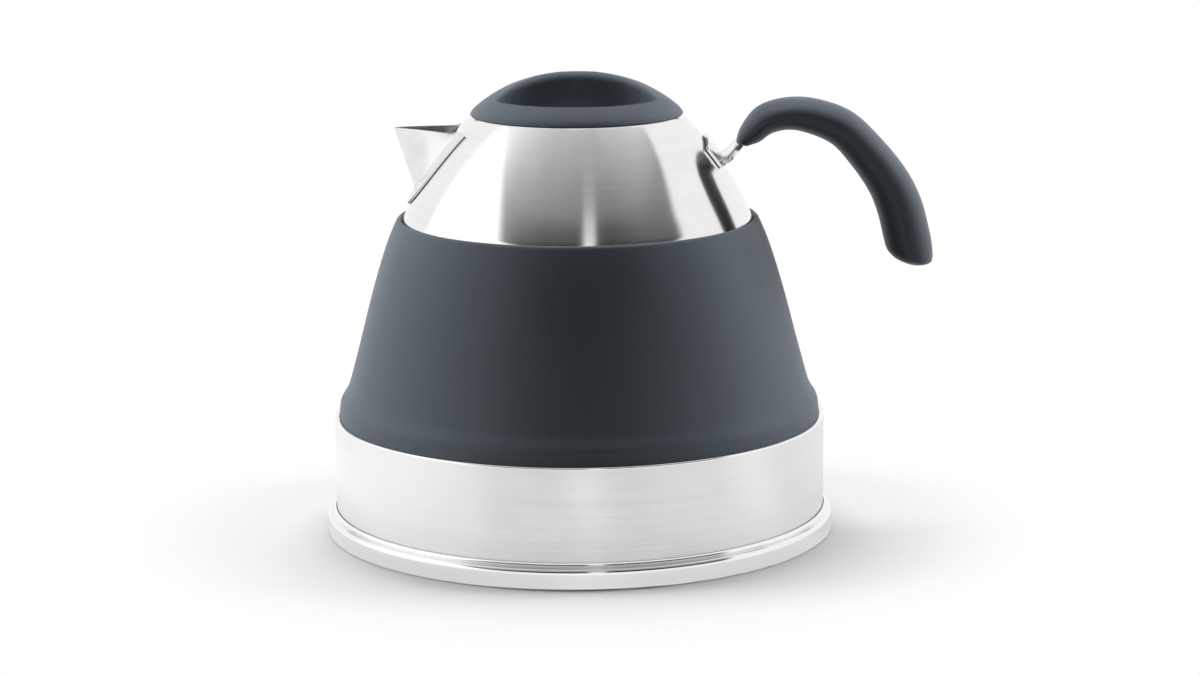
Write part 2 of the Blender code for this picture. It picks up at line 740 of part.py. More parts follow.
def grip_screw(name, share, parent, cut):
    """A screw from the grip's underside, and its hole in the pieces that it passes."""
    matrix, depth = screw_matrix(share)
    head = depth - SCREW_HEAD_RECESS
    seat = head - SCREW_HEAD_HEIGHT
    end = -(CLEARANCE + BRACKET_SHEET + SCREW_BITE)
    outline = [
        (0.0, head),
        (SCREW_HEAD_RADIUS * SCREW_HEAD_CROWN_SHARE, head),
        (SCREW_HEAD_RADIUS, head - SCREW_HEAD_HEIGHT / 2),
        (SCREW_HEAD_RADIUS, seat),
        (SCREW_RADIUS, seat),
        (SCREW_RADIUS, end),
        (0.0, end),
    ]
    turned(name, outline, "polished_steel", SCREW_STEPS, parent, matrix)
    hole = SCREW_RADIUS + CLEARANCE
    recess = SCREW_HEAD_RADIUS + CLEARANCE
    floor = seat - CLEARANCE
    hole_outline = [
        (0.0, depth + OVERRUN),
        (recess, depth + OVERRUN),
        (recess, floor),
        (hole, floor),
        (hole, end - CLEARANCE),
        (0.0, end - CLEARANCE),
    ]
    cutter = turned_cutter(name + "_cutter", hole_outline, SCREW_STEPS, matrix)
    for obj in cut:
        boolean(obj, cutter)


# Handle bracket
def saddle():
    """The bracket's foot, bent round the dome, with sections from one side to the other."""
    sides = [(-across, rise, drop) for across, rise, drop in SADDLE_SHARES[:-1]]
    rings = []
    for across_share, rise_share, drop_share in sides + list(SADDLE_SHARES[::-1]):
        across = SADDLE_HALF_WIDTH * across_share
        high = -SADDLE_RISE * rise_share
        low = SADDLE_DROP * drop_share
        drops = (high, (high + low) / 2, low)
        ring = [over_dome(drop, across, CLEARANCE) for drop in drops]
        ring += [over_dome(drop, across, CLEARANCE + BRACKET_SHEET) for drop in drops[::-1]]
        rings.append(ring)
    return loft(rings)


def channel_outline(width, depth, spread):
    """Places across and down a U whose web is its upper side, and whose walls may spread."""
    half = width / 2
    inner = half - BRACKET_SHEET
    outline = [(-half, 0.0), (half, 0.0), (half + spread, depth), (inner + spread, depth)]
    outline += [(inner, BRACKET_SHEET), (-inner, BRACKET_SHEET), (-inner - spread, depth), (-half - spread, depth)]
    return outline


def arm_channel():
    """From inside the saddle out along the normal, then bent up the dome and into the grip's mouth."""
    frame = handle_matrix()
    foot_top = ARM_DROP - ARM_ROOT_FILLET
    foot = channel_outline(ARM_ROOT_WIDTH, ARM_DEPTH + ARM_ROOT_FILLET, ARM_ROOT_SPREAD)
    rings = [[over_dome(foot_top + down, across, CLEARANCE + BRACKET_SHEET / 2) for across, down in foot]]
    for rise_share, back_share, width_share, spread_share in ARM_SHARES:
        top = ARM_DROP - ARM_BEND_BACK * back_share
        width = lerp(ARM_WIDTH, ARM_ROOT_WIDTH, width_share)
        outline = channel_outline(width, ARM_DEPTH, ARM_ROOT_SPREAD * spread_share)
        rings.append([frame @ Vector((top + down, across, ARM_RISE * rise_share)) for across, down in outline])
    start = grip_station(0.0)
    web_top = start["seam"] + 2 * CLEARANCE + BRACKET_SHEET
    mouth = start["point"] - start["along"] * CLEARANCE + start["out"] * web_top
    outline = channel_outline(ARM_WIDTH, ARM_DEPTH, 0.0)
    rings.append([mouth - start["out"] * down + Vector((0.0, across, 0.0)) for across, down in outline])
    return loft(rings)


def handle_bracket(parent):
    obj = object_from(saddle(), "handle_bracket", "polished_steel", parent)
    boolean(obj, cutter_from(arm_channel(), "channel_form"), "UNION")
    boolean(obj, cutter_from(loft(tang_rings(0.0, TANG_WIDTH)), "tang_form"), "UNION")
    return obj


# Lid
def lid_plate_path():
    """The dish's upper face, from the axis down into the neck, up its side and over the mouth."""
    side = NECK_RADIUS - LID_DISH_CORNER - 2 * CLEARANCE - LID_SHEET / 2
    top = NECK_TOP + CLEARANCE + LID_SHEET
    floor = top - LID_DISH_DEPTH
    shoulder = NECK_RADIUS + NECK_FILLET
    path = [(0.0, floor)]
    path += arc((side - LID_DISH_CORNER, floor + LID_DISH_CORNER), LID_DISH_CORNER, -90, 0, 2)
    path += arc((side + LID_DISH_CORNER, top - LID_DISH_CORNER), LID_DISH_CORNER, 180, 90, 2)
    path += [(shoulder, top), (LID_RIM_RADIUS, top - RIM_SLOPE_SHARE * (LID_RIM_RADIUS - shoulder))]
    return path


def lid_plate(parent):
    outline = wall_outline(lid_plate_path(), LID_SHEET)
    return turned("lid_plate", outline, "brushed_steel", LID_INNER_STEPS, parent)


def collar_top():
    return lid_plate_path()[0][1] - LID_SHEET - CLEARANCE


def lid_collar(parent):
    """A ring with a flange inwards at its top, on the dish, and one outwards at its bottom, under the gasket."""
    top = collar_top()
    low = top - COLLAR_DEPTH
    path = [(COLLAR_RADIUS - COLLAR_FLANGE, top), (COLLAR_RADIUS, top), (COLLAR_RADIUS, low)]
    path += [(NECK_RADIUS - 2 * CLEARANCE, low)]
    return turned("lid_collar", wall_outline(path, LID_SHEET), "brushed_steel", LID_INNER_STEPS, parent)


def lid_gasket(parent):
    """A ring round the collar with two lips towards the neck."""
    high = collar_top()
    low = high - COLLAR_DEPTH + CLEARANCE
    inner = COLLAR_RADIUS + CLEARANCE
    outer = NECK_RADIUS - CLEARANCE
    root = outer - GASKET_LIP
    third = (high - low) / 3
    outline = [(inner, high), (root, high), (outer, high - third / 2), (root, high - third)]
    outline += [(root, low + third), (outer, low + third / 2), (root, low), (inner, low)]
    return turned("lid_gasket", outline, "clear_silicone", LID_INNER_STEPS, parent)


def scoop_ring(height_share, lip_share, ridge_share, side):
    """A D with rounded corners between the lip's circle and the ridge's side."""
    z = LID_TOP + OVERRUN - (SCOOP_DEPTH + OVERRUN) * (1.0 - height_share)
    lip = SCOOP_RADIUS * lip_share
    centre_y = RIDGE_FOOT_HALF * ridge_share + SCOOP_CORNER
    centre_x = math.sqrt((lip - SCOOP_CORNER) ** 2 - centre_y**2)
    meeting = math.degrees(math.atan2(centre_y, centre_x))
    points = arc((centre_x, centre_y), SCOOP_CORNER, -90, meeting, SCOOP_CORNER_STEPS)
    points += arc((0.0, 0.0), lip, meeting, 180 - meeting, SCOOP_LIP_STEPS)[1:-1]
    points += arc((-centre_x, centre_y), SCOOP_CORNER, 180 - meeting, 270, SCOOP_CORNER_STEPS)
    return [Vector((x, side * y, z)) for x, y in points]


def scoop_tool(name, side):
    return cutter_from(loft([scoop_ring(*level, side) for level in SCOOP_LEVEL_SHARES]), name)


def lid_cover(parent):
    """Turned over the dish and its rim, with a finger scoop cut on each side of the ridge."""
    top_edge = dome_radius(SHOULDER_TOP)
    low = SHOULDER_TOP + CLEARANCE / 2
    outer = [(LID_RADIUS * r, low + (LID_TOP - low) * h) for r, h in LID_PROFILE_SHARES]
    under = offset(lid_plate_path(), CLEARANCE)
    under[0] = on_axis(under[0])
    rim = under[-1]
    heel = rim[0] + CLEARANCE
    edge = [(top_edge, low), (heel, low + RIM_SLOPE_SHARE * (top_edge - heel)), (heel, rim[1] - CLEARANCE)]
    obj = turned("lid_cover", outer + edge + under[::-1], "silicone", parent=parent)
    boolean(obj, scoop_tool("front_scoop_tool", -1))
    boolean(obj, scoop_tool("back_scoop_tool", 1))
    return obj


def empty_on_axis(name, parent=None):
    """A joint's empty at the origin, which lies on the axis that both joints slide along."""
    obj = bpy.data.objects.new(name, None)
    bpy.data.collections[COLLECTION].objects.link(obj)
    if parent is not None:
        obj.parent = parent
    return obj


def main():
    clear_scene()
    collection_named(COLLECTION)
    collection_named(CUTTERS)
    dome_joint = empty_on_axis("collapse_joint")
    lid_joint = empty_on_axis("lid_joint", dome_joint)
    base_cap()
    base_core_disc()
    base_pan()
    lower_clamp_ring()
    silicone_body()
    upper_shell(dome_joint)
    upper_clamp_ring(dome_joint)
    spout(dome_joint)
    bracket = handle_bracket(dome_joint)
    upper = grip_upper(dome_joint)
    lower = grip_lower(dome_joint)
    for name, share in zip(("grip_screw_front", "grip_screw_rear"), SCREW_STATION_SHARES):
        grip_screw(name, share, dome_joint, (bracket, upper, lower))
    lid_plate(lid_joint)
    lid_collar(lid_joint)
    lid_gasket(lid_joint)
    lid_cover(lid_joint)


main()
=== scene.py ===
"""Looks of the collapsible kettle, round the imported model.

Finer pieces take the place of the CAD nodes that show, at the same sizes, and every node that stays gets a
procedural material. Metres, +Z up, +X to the handle, the camera on the -Y side.
"""

import math

import bmesh
import bpy
from mathutils import Matrix, Vector


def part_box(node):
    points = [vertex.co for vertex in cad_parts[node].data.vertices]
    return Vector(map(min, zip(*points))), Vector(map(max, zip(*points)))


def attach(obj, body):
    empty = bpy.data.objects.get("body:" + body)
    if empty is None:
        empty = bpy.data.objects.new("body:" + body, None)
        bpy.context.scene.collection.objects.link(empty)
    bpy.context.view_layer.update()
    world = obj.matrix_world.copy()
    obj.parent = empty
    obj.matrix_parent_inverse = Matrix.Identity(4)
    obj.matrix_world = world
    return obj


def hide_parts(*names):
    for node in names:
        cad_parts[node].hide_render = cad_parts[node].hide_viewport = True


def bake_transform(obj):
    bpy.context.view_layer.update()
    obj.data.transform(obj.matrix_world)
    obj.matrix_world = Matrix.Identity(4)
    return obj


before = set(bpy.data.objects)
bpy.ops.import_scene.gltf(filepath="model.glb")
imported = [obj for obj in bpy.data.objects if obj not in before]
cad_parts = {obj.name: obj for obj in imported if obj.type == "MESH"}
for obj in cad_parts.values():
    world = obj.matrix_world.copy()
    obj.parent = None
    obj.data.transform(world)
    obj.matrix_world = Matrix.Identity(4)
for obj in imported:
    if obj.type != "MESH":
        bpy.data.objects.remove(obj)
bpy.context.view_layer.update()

MM = 0.001

# Sizes that part.py uses too
CLEARANCE = 0.3 * MM
SHEET = 0.8 * MM
BASE_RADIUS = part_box("base_cap")[1].x
BAND_RADIUS = 89.5 * MM
CAP_LIP_RADIUS = BAND_RADIUS + CLEARANCE
BASE_SIDE_HEIGHT = 5.7 * MM
BASE_SHOULDER = 1.9 * MM
BASE_FILLET = 1.3 * MM
BASE_CORNER = 0.8 * MM
PAN_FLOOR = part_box("base_pan")[0].z + SHEET
CAD_BAND_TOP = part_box("base_pan")[1].z
BAND_INNER_RADIUS = BAND_RADIUS - SHEET
BAND_CORNER = 2.5 * MM
RIM_CURL = 0.7 * MM
WALL_THICKNESS = 2.5 * MM
WALL_HEIGHT = 73.2 * MM
WALL_SETBACK = 0.55 * MM
FOOT_THICKNESS = 2.9 * MM
FOOT_DEPTH = 8.0 * MM
LIP_THICKNESS = 1.45 * MM
LIP_HEIGHT = 5.0 * MM
LIP_FLOOR = 1.6 * MM
WALL_PROFILE_SHARES = (
    (0.018, 0.010),
    (0.047, 0.000),
    (0.087, 0.005),
    (0.122, 0.026),
    (0.203, 0.089),
    (0.300, 0.179),
    (0.418, 0.307),
    (0.519, 0.428),
    (0.658, 0.608),
    (0.809, 0.794),
    (0.870, 0.854),
    (0.965, 0.908),
    (0.987, 0.945),
    (1.000, 1.000),
)
WALL_INNER_ROWS = (5, 8, 9, 11)
DOME_EDGE_RADIUS = 63.25 * MM
DOME_SHOULDER_RADIUS = 38.2 * MM
DOME_HEIGHT = 37.4 * MM
DOME_BULGE = 2.1 * MM
SKIRT_STEP = 0.2 * MM
SKIRT_DEPTH = 8.0 * MM
RIM_WIDTH = 5.0 * MM
RIM_SLOPE_SHARE = 0.5
NECK_FILLET = 1.2 * MM
NECK_DEPTH = 10.4 * MM
LID_OVERHANG = 0.2 * MM
LID_RISE = 15.3 * MM
LID_SHEET = 0.6 * MM
LID_DISH_DEPTH = 5.2 * MM
LID_DISH_CORNER = 1.0 * MM
LID_RIM_INSET = 2.2 * MM
SCOOP_DEPTH = 13.8 * MM
SCOOP_RADIUS = 32.6 * MM
RIDGE_FOOT_HALF = 8.6 * MM
OVERRUN = 3.0 * MM
SCOOP_LEVEL_SHARES = (
    (0.00, 0.782, 1.00),
    (0.055, 0.877, 0.84),
    (0.16, 0.936, 0.70),
    (0.34, 0.969, 0.57),
    (0.61, 0.988, 0.455),
    (1.00, 1.000, 0.35),
)
SPOUT_SHEET = 0.7 * MM
SPOUT_TIP_REACH = 21.5 * MM
SPOUT_TIP_DROP = 4.4 * MM
SPOUT_ROOT_DROP = 5.5 * MM
SPOUT_ROOT_POWER = 2.2
SPOUT_FLANGE_POWER = 2.6
STRAINER_RADIUS = 1.25 * MM
STRAINER_PITCH = 3.7 * MM
STRAINER_DROP = 9.9 * MM
STRAINER_ROWS = (4, 3, 2, 1)
HANDLE_DROP = 12.3 * MM
BRACKET_SHEET = 1.1 * MM
SADDLE_HALF_WIDTH = 15.0 * MM
SADDLE_RISE = 5.1 * MM
SADDLE_DROP = 7.5 * MM
SADDLE_SHARES = (
    (1.000, 0.12, 0.78),
    (0.965, 0.26, 0.95),
    (0.880, 0.37, 1.00),
    (0.640, 0.60, 1.00),
    (0.340, 0.87, 1.00),
    (0.000, 1.00, 1.00),
)
ARM_ROOT_WIDTH = 15.0 * MM
ARM_WIDTH = 11.5 * MM
ARM_DEPTH = 2.5 * MM
ARM_DROP = 4.9 * MM
ARM_ROOT_SPREAD = 2.4 * MM
ARM_ROOT_FILLET = 1.2 * MM
ARM_RISE = 7.0 * MM
ARM_BEND_BACK = 0.85 * MM
ARM_SHARES = (
    (0.28, 0.00, 1.00, 0.45),
    (0.48, 0.00, 0.95, 0.12),
    (0.72, 0.40, 0.80, 0.00),
    (1.00, 1.00, 0.50, 0.00),
)
GRIP_START_RISE = 9.6 * MM
GRIP_START_DROP = 5.6 * MM
GRIP_REACH = 61.9 * MM
GRIP_DROP = 44.6 * MM
GRIP_THICKNESS = 17.1 * MM
GRIP_WIDTH = 25.0 * MM
GRIP_STATION_SHARES = (
    (0.000, 0.000, 0.27, 0.66, 0.12, 70.0),
    (0.047, 0.074, 0.50, 0.76, -0.03, 46.0),
    (0.132, 0.184, 0.63, 0.84, -0.07, 31.0),
    (0.262, 0.233, 0.67, 0.90, -0.06, 3.0),
    (0.409, 0.211, 0.74, 0.94, -0.06, -17.0),
    (0.583, 0.110, 0.80, 0.98, -0.06, -33.0),
    (0.728, -0.093, 0.85, 1.00, -0.06, -47.0),
    (0.847, -0.314, 0.91, 1.00, -0.06, -58.0),
    (0.918, -0.522, 0.965, 0.99, -0.06, -68.0),
    (0.961, -0.744, 0.98, 0.97, -0.06, -78.0),
    (0.981, -0.866, 0.965, 0.93, -0.06, -86.0),
    (0.998, -0.940, 0.87, 0.86, -0.06, -92.0),
    (1.008, -0.978, 0.72, 0.73, -0.06, -95.0),
    (1.013, -1.003, 0.42, 0.45, -0.06, -95.0),
)

# Sizes a little unlike those of part.py, to follow the photograph
BAND_RISE = 1.4 * MM
LID_PROFILE_SHARES = (
    (0.000, 1.000),
    (0.170, 0.986),
    (0.330, 0.924),
    (0.480, 0.821),
    (0.620, 0.685),
    (0.750, 0.516),
    (0.870, 0.323),
    (0.960, 0.140),
    (0.995, 0.035),
    (1.000, 0.010),
)
SPOUT_KEEL_DROP = 26.3 * MM
SPOUT_FLANGE_DROP = 32.3 * MM
SPOUT_HALF_WIDTH = 10.2 * MM
SPOUT_FLANGE_WIDTH = 7.7 * MM
GRIP_ROUNDNESS = 2.1

# Sizes that only the scene has
RIM_HEM = 0.75 * MM
RIM_HEM_DROP = 0.1 * MM
WALL_SOFTNESS = 0.35 * MM
STRAINER_CUT = 6.0 * MM
SPOUT_EDGE = 0.15 * MM
BRACKET_EDGE = 0.2 * MM
CHANNEL_CORNER = 0.9 * MM
CHANNEL_FILLET = 0.3 * MM
GROOVE_WIDTH = 0.55 * MM
GROOVE_DEPTH = 0.55 * MM
GROOVE_END = 3.7
SEAM_GAP = 0.01 * MM
RIDGE_FLARE = 19.0 * MM
CREST_DEPTH = 3.8 * MM
SCOOP_SOFTNESS = 1.6 * MM
END_SOFTNESS = 9.0 * MM
LIP_SOFTNESS = 0.8 * MM
FILLET_SHARE = 1.5
LEAST_FILLET = 0.01 * MM

# Counts and distances of the meshes
TURN_STEPS = 240
ARC_STEPS = 6
WALL_STEPS = 6
WALL_INNER_STEPS = 8
DOME_STEPS = 40
STRAINER_SIDES = 24
SPOUT_ROWS = 36
SPOUT_TOE_ROWS = 12
SPOUT_COLUMNS = 18
SPOUT_FLANGE_COLUMNS = 6
GRIP_RINGS = 104
GRIP_SIDE_STEPS = 48
SADDLE_STEPS = 6
SADDLE_ROWS = 10
ARM_STEPS = 5
LID_STEPS = 400
LID_TABLE_STEPS = 8
LID_STEP = 0.8 * MM
LID_LEAST_STEP = 0.12 * MM
CREST_STEPS = 12
SHARP_ANGLE = 32.0
SOFT_SHARP_ANGLE = 50.0
SPOUT_SHARP_ANGLE = 60.0
MERGE = 0.01 * MM
WELD = 0.002 * MM
BRACKET_WELD = 0.03 * MM

# Places worked out from the sizes
BAND_TOP = CAD_BAND_TOP + BAND_RISE
WALL_FOOT_RADIUS = BAND_INNER_RADIUS - CLEARANCE
WALL_BOTTOM_RADIUS = WALL_FOOT_RADIUS - WALL_SETBACK
WALL_BOTTOM = CAD_BAND_TOP + CLEARANCE
WALL_TOP = WALL_BOTTOM + WALL_HEIGHT
SKIRT_RADIUS = DOME_EDGE_RADIUS + SKIRT_STEP
SKIRT_BOTTOM = WALL_TOP - SKIRT_DEPTH
SHOULDER_TOP = WALL_TOP + DOME_HEIGHT
NECK_TOP = SHOULDER_TOP + RIM_WIDTH * RIM_SLOPE_SHARE
NECK_RADIUS = DOME_SHOULDER_RADIUS - RIM_WIDTH - NECK_FILLET
LID_RADIUS = DOME_SHOULDER_RADIUS + LID_OVERHANG
LID_RIM_RADIUS = DOME_SHOULDER_RADIUS - LID_RIM_INSET
LID_TOP = SHOULDER_TOP + LID_RISE
HANDLE_HEIGHT = SHOULDER_TOP - HANDLE_DROP


# Shape helpers
def lerp(a, b, share):
    return a + (b - a) * share


def table_row(table, place):
    """A row between the table's rows, on a smooth curve through them."""
    index = min(int(place), len(table) - 2)
    t = place - index
    rows = [table[min(max(index + k, 0), len(table) - 1)] for k in (-1, 0, 1, 2)]
    return [
        0.5 * (2 * b + (c - a) * t + (2 * a - 5 * b + 4 * c - d) * t**2 + (3 * b - a - 3 * c + d) * t**3)
        for a, b, c, d in zip(*rows)
    ]


def smooth_table(table, steps):
    """The table's curve with steps places between each two rows."""
    count = (len(table) - 1) * steps
    return [table_row(table, i / steps) for i in range(count + 1)]


def arc(centre, radius, start, end, steps=ARC_STEPS):
    points = []
    for step in range(steps + 1):
        angle = math.radians(lerp(start, end, step / steps))
        points.append((centre[0] + radius * math.cos(angle), centre[1] + radius * math.sin(angle)))
    return points


def offset(path, distance):
    """The path moved to its left by distance."""
    moved = []
    for i, point in enumerate(path):
        normals = []
        for a, b in ((i - 1, i), (i, i + 1)):
            if a < 0 or b >= len(path):
                continue
            run = Vector((path[b][0] - path[a][0], path[b][1] - path[a][1])).normalized()
            normals.append(Vector((-run.y, run.x)))
        normal = sum(normals, Vector((0.0, 0.0))).normalized()
        stretch = distance / normal.dot(normals[0])
        moved.append((point[0] + normal.x * stretch, point[1] + normal.y * stretch))
    return moved


def softened(outline, radius, steps=3, angle=25.0, limit=0.45):
    """The closed outline with corners sharper than the angle rounded, apart from those on the axis."""
    made = []
    count = len(outline)
    for i, point in enumerate(outline):
        here = Vector(point)
        back = Vector(outline[i - 1]) - here
        ahead = Vector(outline[(i + 1) % count]) - here
        turn = math.pi - back.angle(ahead) if back.length > 0 and ahead.length > 0 else 0.0
        if turn < math.radians(angle) or point[0] == 0.0:
            made.append(point)
            continue
        reach = min(radius * math.tan(turn / 2), back.length * limit, ahead.length * limit)
        a = here + back.normalized() * reach
        b = here + ahead.normalized() * reach
        for step in range(steps + 1):
            t = step / steps
            made.append(tuple(a * (1 - t) ** 2 + here * 2 * t * (1 - t) + b * t**2))
    return made


def mesh_object(bm, name, material, sharp=SHARP_ANGLE):
    """An object from the mesh, smooth but for the edges sharper than the angle."""
    bmesh.ops.recalc_face_normals(bm, faces=bm.faces)
    mesh = bpy.data.meshes.new(name)
    bm.to_mesh(mesh)
    bm.free()
    obj = bpy.data.objects.new(name, mesh)
    bpy.context.scene.collection.objects.link(obj)
    mesh.materials.append(material)
    mesh.shade_smooth()
    mesh.set_sharp_from_angle(angle=math.radians(sharp))
    return obj


def turned(name, outline, material, steps=TURN_STEPS):
    """The closed outline of (r, z) turned about the axis."""
    bm = bmesh.new()
    rings = []
    for r, z in outline:
        if r == 0.0:
            rings.append([bm.verts.new((0.0, 0.0, z))])
            continue
        ring = []
        for step in range(steps):
            angle = 2 * math.pi * step / steps
            ring.append(bm.verts.new((r * math.cos(angle), r * math.sin(angle), z)))
        rings.append(ring)
    for low, high in zip(rings, rings[1:] + rings[:1]):
        if len(low) == 1 and len(high) == 1:
            continue
        for i in range(steps):
            j = (i + 1) % steps
            if len(low) == 1:
                bm.faces.new((low[0], high[j], high[i]))
            elif len(high) == 1:
                bm.faces.new((low[i], low[j], high[0]))
            else:
                bm.faces.new((low[i], low[j], high[j], high[i]))
    return mesh_object(bm, name, material)


def loft_mesh(rings):
    """A solid through rings of equal length."""
    bm = bmesh.new()
    made = [[bm.verts.new(point) for point in ring] for ring in rings]
    count = len(made[0])
    for low, high in zip(made, made[1:]):
        for i in range(count):
            j = (i + 1) % count
            bm.faces.new((low[i], low[j], high[j], high[i]))
    bm.faces.new(made[0][::-1])
    bm.faces.new(made[-1])
    return bm


def boolean(obj, cutter, operation="DIFFERENCE", weld=WELD):
    """Cuts or joins at once, welds what lies closer than the weld, and drops the other object."""
    modifier = obj.modifiers.new("cut", "BOOLEAN")
    modifier.object = cutter
    modifier.operation = operation
    modifier.solver = "EXACT"
    graph = bpy.context.evaluated_depsgraph_get()
    mesh = bpy.data.meshes.new_from_object(obj.evaluated_get(graph))
    bm = bmesh.new()
    bm.from_mesh(mesh)
    bmesh.ops.remove_doubles(bm, verts=bm.verts, dist=weld)
    bmesh.ops.dissolve_degenerate(bm, edges=bm.edges, dist=weld)
    bm.to_mesh(mesh)
    bm.free()
    obj.modifiers.clear()
    obj.data = mesh
    bpy.data.objects.remove(cutter)


def bevelled(obj, width):
    """Rounds the object's sharp edges."""
    bevel = obj.modifiers.new("edges", "BEVEL")
    bevel.width = width
    bevel.segments = 2
    bevel.limit_method = "ANGLE"
    bevel.angle_limit = math.radians(SOFT_SHARP_ANGLE)


def wall_outline(path, thickness):
    """The outline of a sheet whose outer face is the path, which runs down its outer side."""
    inner = offset(path, -thickness)
    if path[-1][0] == 0.0:
        inner[-1] = (0.0, inner[-1][1])
    if path[0][0] == 0.0:
        inner[0] = (0.0, inner[0][1])
        return path + inner[::-1]
    return inner[::-1] + path


# Material helpers
class Nodes:
    """A material's node tree, built by short calls."""

    def __init__(self, name):
        self.material = bpy.data.materials.new(name)
        self.material.use_nodes = True
        self.tree = self.material.node_tree
        self.shader = self.tree.nodes["Principled BSDF"]

    def add(self, kind, inputs=None, **settings):
        node = self.tree.nodes.new(kind)
        for key, value in settings.items():
            setattr(node, key, value)
        for key, value in (inputs or {}).items():
            self.feed(node.inputs[key], value)
        return node

    def feed(self, socket, value):
        if isinstance(value, bpy.types.NodeSocket):
            self.tree.links.new(value, socket)
        else:
            socket.default_value = value

    def math(self, operation, a, b=0.0, c=0.0):
        return self.add("ShaderNodeMath", {0: a, 1: b, 2: c}, operation=operation).outputs[0]

    def noise(self, vector, scale, detail=2.0, rough=0.5, w=None):
        inputs = {"Vector": vector, "Scale": scale, "Detail": detail, "Roughness": rough}
        if w is None:
            return self.add("ShaderNodeTexNoise", inputs).outputs["Fac"]
        inputs["W"] = w
        return self.add("ShaderNodeTexNoise", inputs, noise_dimensions="4D").outputs["Fac"]

    def spread(self, value, low, high, to_low=0.0, to_high=1.0):
        inputs = {"Value": value, "From Min": low, "From Max": high, "To Min": to_low, "To Max": to_high}
        return self.add("ShaderNodeMapRange", inputs).outputs["Result"]

    def mix(self, share, a, b):
        node = self.add("ShaderNodeMix", data_type="RGBA")
        self.feed(node.inputs["Factor"], share)
        self.feed(node.inputs["A"], a)
        self.feed(node.inputs["B"], b)
        return node.outputs["Result"]

    def bump(self, height, strength, distance, normal=None):
        inputs = {"Height": height, "Strength": strength, "Distance": distance}
        if normal is not None:
            inputs["Normal"] = normal
        return self.add("ShaderNodeBump", inputs).outputs["Normal"]

    def place(self):
        return self.add("ShaderNodeTexCoord").outputs["Object"]

    def split(self, vector):
        return self.add("ShaderNodeSeparateXYZ", {0: vector}).outputs

    def join(self, x, y, z):
        return self.add("ShaderNodeCombineXYZ", {0: x, 1: y, 2: z}).outputs[0]

    def set(self, **values):
        for key, value in values.items():
            self.feed(self.shader.inputs[key.replace("_", " ")], value)


def grey(value):
    return (value, value, value * 0.995, 1.0)


def turned_noise(n, place, length, density, detail, rough):
    """Noise drawn out round the axis by the length, with the density in marks per metre across it."""
    x, y, z = n.split(place)
    radius = n.math("SQRT", n.math("ADD", n.math("MULTIPLY", x, x), n.math("MULTIPLY", y, y)))
    stretch = n.math("MULTIPLY", n.math("ADD", radius, 0.1 * MM), length)
    turn = [n.math("DIVIDE", value, stretch) for value in (x, y)]
    around = n.join(*turn, n.math("MULTIPLY", z, density))
    return n.noise(around, 1.0, detail, rough, n.math("MULTIPLY", radius, density))


def turned_steel(name, light, dark, rough, anisotropy, grain):
    """Steel finished on a lathe: fine lines run round the axis, with faint broader bands and clouds."""
    n = Nodes(name)
    place = n.place()
    lines = turned_noise(n, place, 1.6, 2600.0, 3.0, 0.7)
    bands = turned_noise(n, place, 0.9, 420.0, 2.0, 0.5)
    cloud = n.noise(place, 38.0, 3.0, 0.55)
    tone = n.math("ADD", n.math("MULTIPLY", lines, 0.55), n.math("MULTIPLY", bands, 0.3))
    tone = n.math("ADD", tone, n.math("MULTIPLY", cloud, 0.15))
    wear = n.math("ADD", n.math("MULTIPLY", lines, 0.6), n.math("MULTIPLY", cloud, 0.4))
    n.set(
        Base_Color=n.mix(n.spread(tone, 0.36, 0.64), dark, light),
        Metallic=1.0,
        Roughness=n.spread(wear, 0.35, 0.65, rough * 0.82, rough * 1.2),
        Anisotropic=anisotropy,
        Anisotropic_Rotation=0.25,
        Normal=n.bump(lines, grain, 0.04 * MM),
    )
    if anisotropy > 0.0:
        tangent = n.add("ShaderNodeTangent", direction_type="RADIAL", axis="Z")
        n.set(Tangent=tangent.outputs["Tangent"])
    return n.material


def plain_steel(name, light, dark, rough, grain):
    """Pressed and tumbled steel: no direction, faint mottling and tiny dents."""
    n = Nodes(name)
    place = n.place()
    cloud = n.noise(place, 120.0, 3.0, 0.55)
    fine = n.noise(place, 1800.0, 3.0, 0.6)
    tone = n.math("ADD", n.math("MULTIPLY", cloud, 0.6), n.math("MULTIPLY", fine, 0.4))
    n.set(
        Base_Color=n.mix(n.spread(tone, 0.38, 0.62), dark, light),
        Metallic=1.0,
        Roughness=n.spread(tone, 0.35, 0.65, rough * 0.75, rough * 1.3),
        Normal=n.bump(fine, grain, 0.03 * MM, n.bump(cloud, grain, 0.1 * MM)),
    )
    return n.material


def soft_touch(name, light, dark, rough, sheen, grain, flow=0.0):
    """Matte moulded silicone or nylon: powdery grain, mottling, a soft bloom, and flow lines round it."""
    n = Nodes(name)
    place = n.place()
    cloud = n.noise(place, 26.0, 3.0, 0.5)
    powder = n.noise(place, 900.0, 3.0, 0.65)
    grains = n.noise(place, 3200.0, 2.0, 0.6)
    tone = n.math("ADD", n.math("MULTIPLY", cloud, 0.55), n.math("MULTIPLY", powder, 0.45))
    n.set(
        Base_Color=n.mix(n.spread(tone, 0.36, 0.64), dark, light),
        Roughness=n.spread(tone, 0.35, 0.65, rough * 0.93, rough * 1.07),
        Specular_IOR_Level=0.31,
        Sheen_Weight=sheen,
        Sheen_Roughness=0.45,
        Sheen_Tint=(0.75, 0.85, 1.0, 1.0),
    )
    normal = n.bump(grains, grain, 0.03 * MM)
    if flow > 0.0:
        scales = (4.0, 4.0, 260.0)
        across = [n.math("MULTIPLY", value, scale) for value, scale in zip(n.split(place), scales)]
        normal = n.bump(n.noise(n.join(*across), 1.0, 2.0, 0.5), flow, 0.1 * MM, normal)
    n.set(Normal=normal)
    return n.material


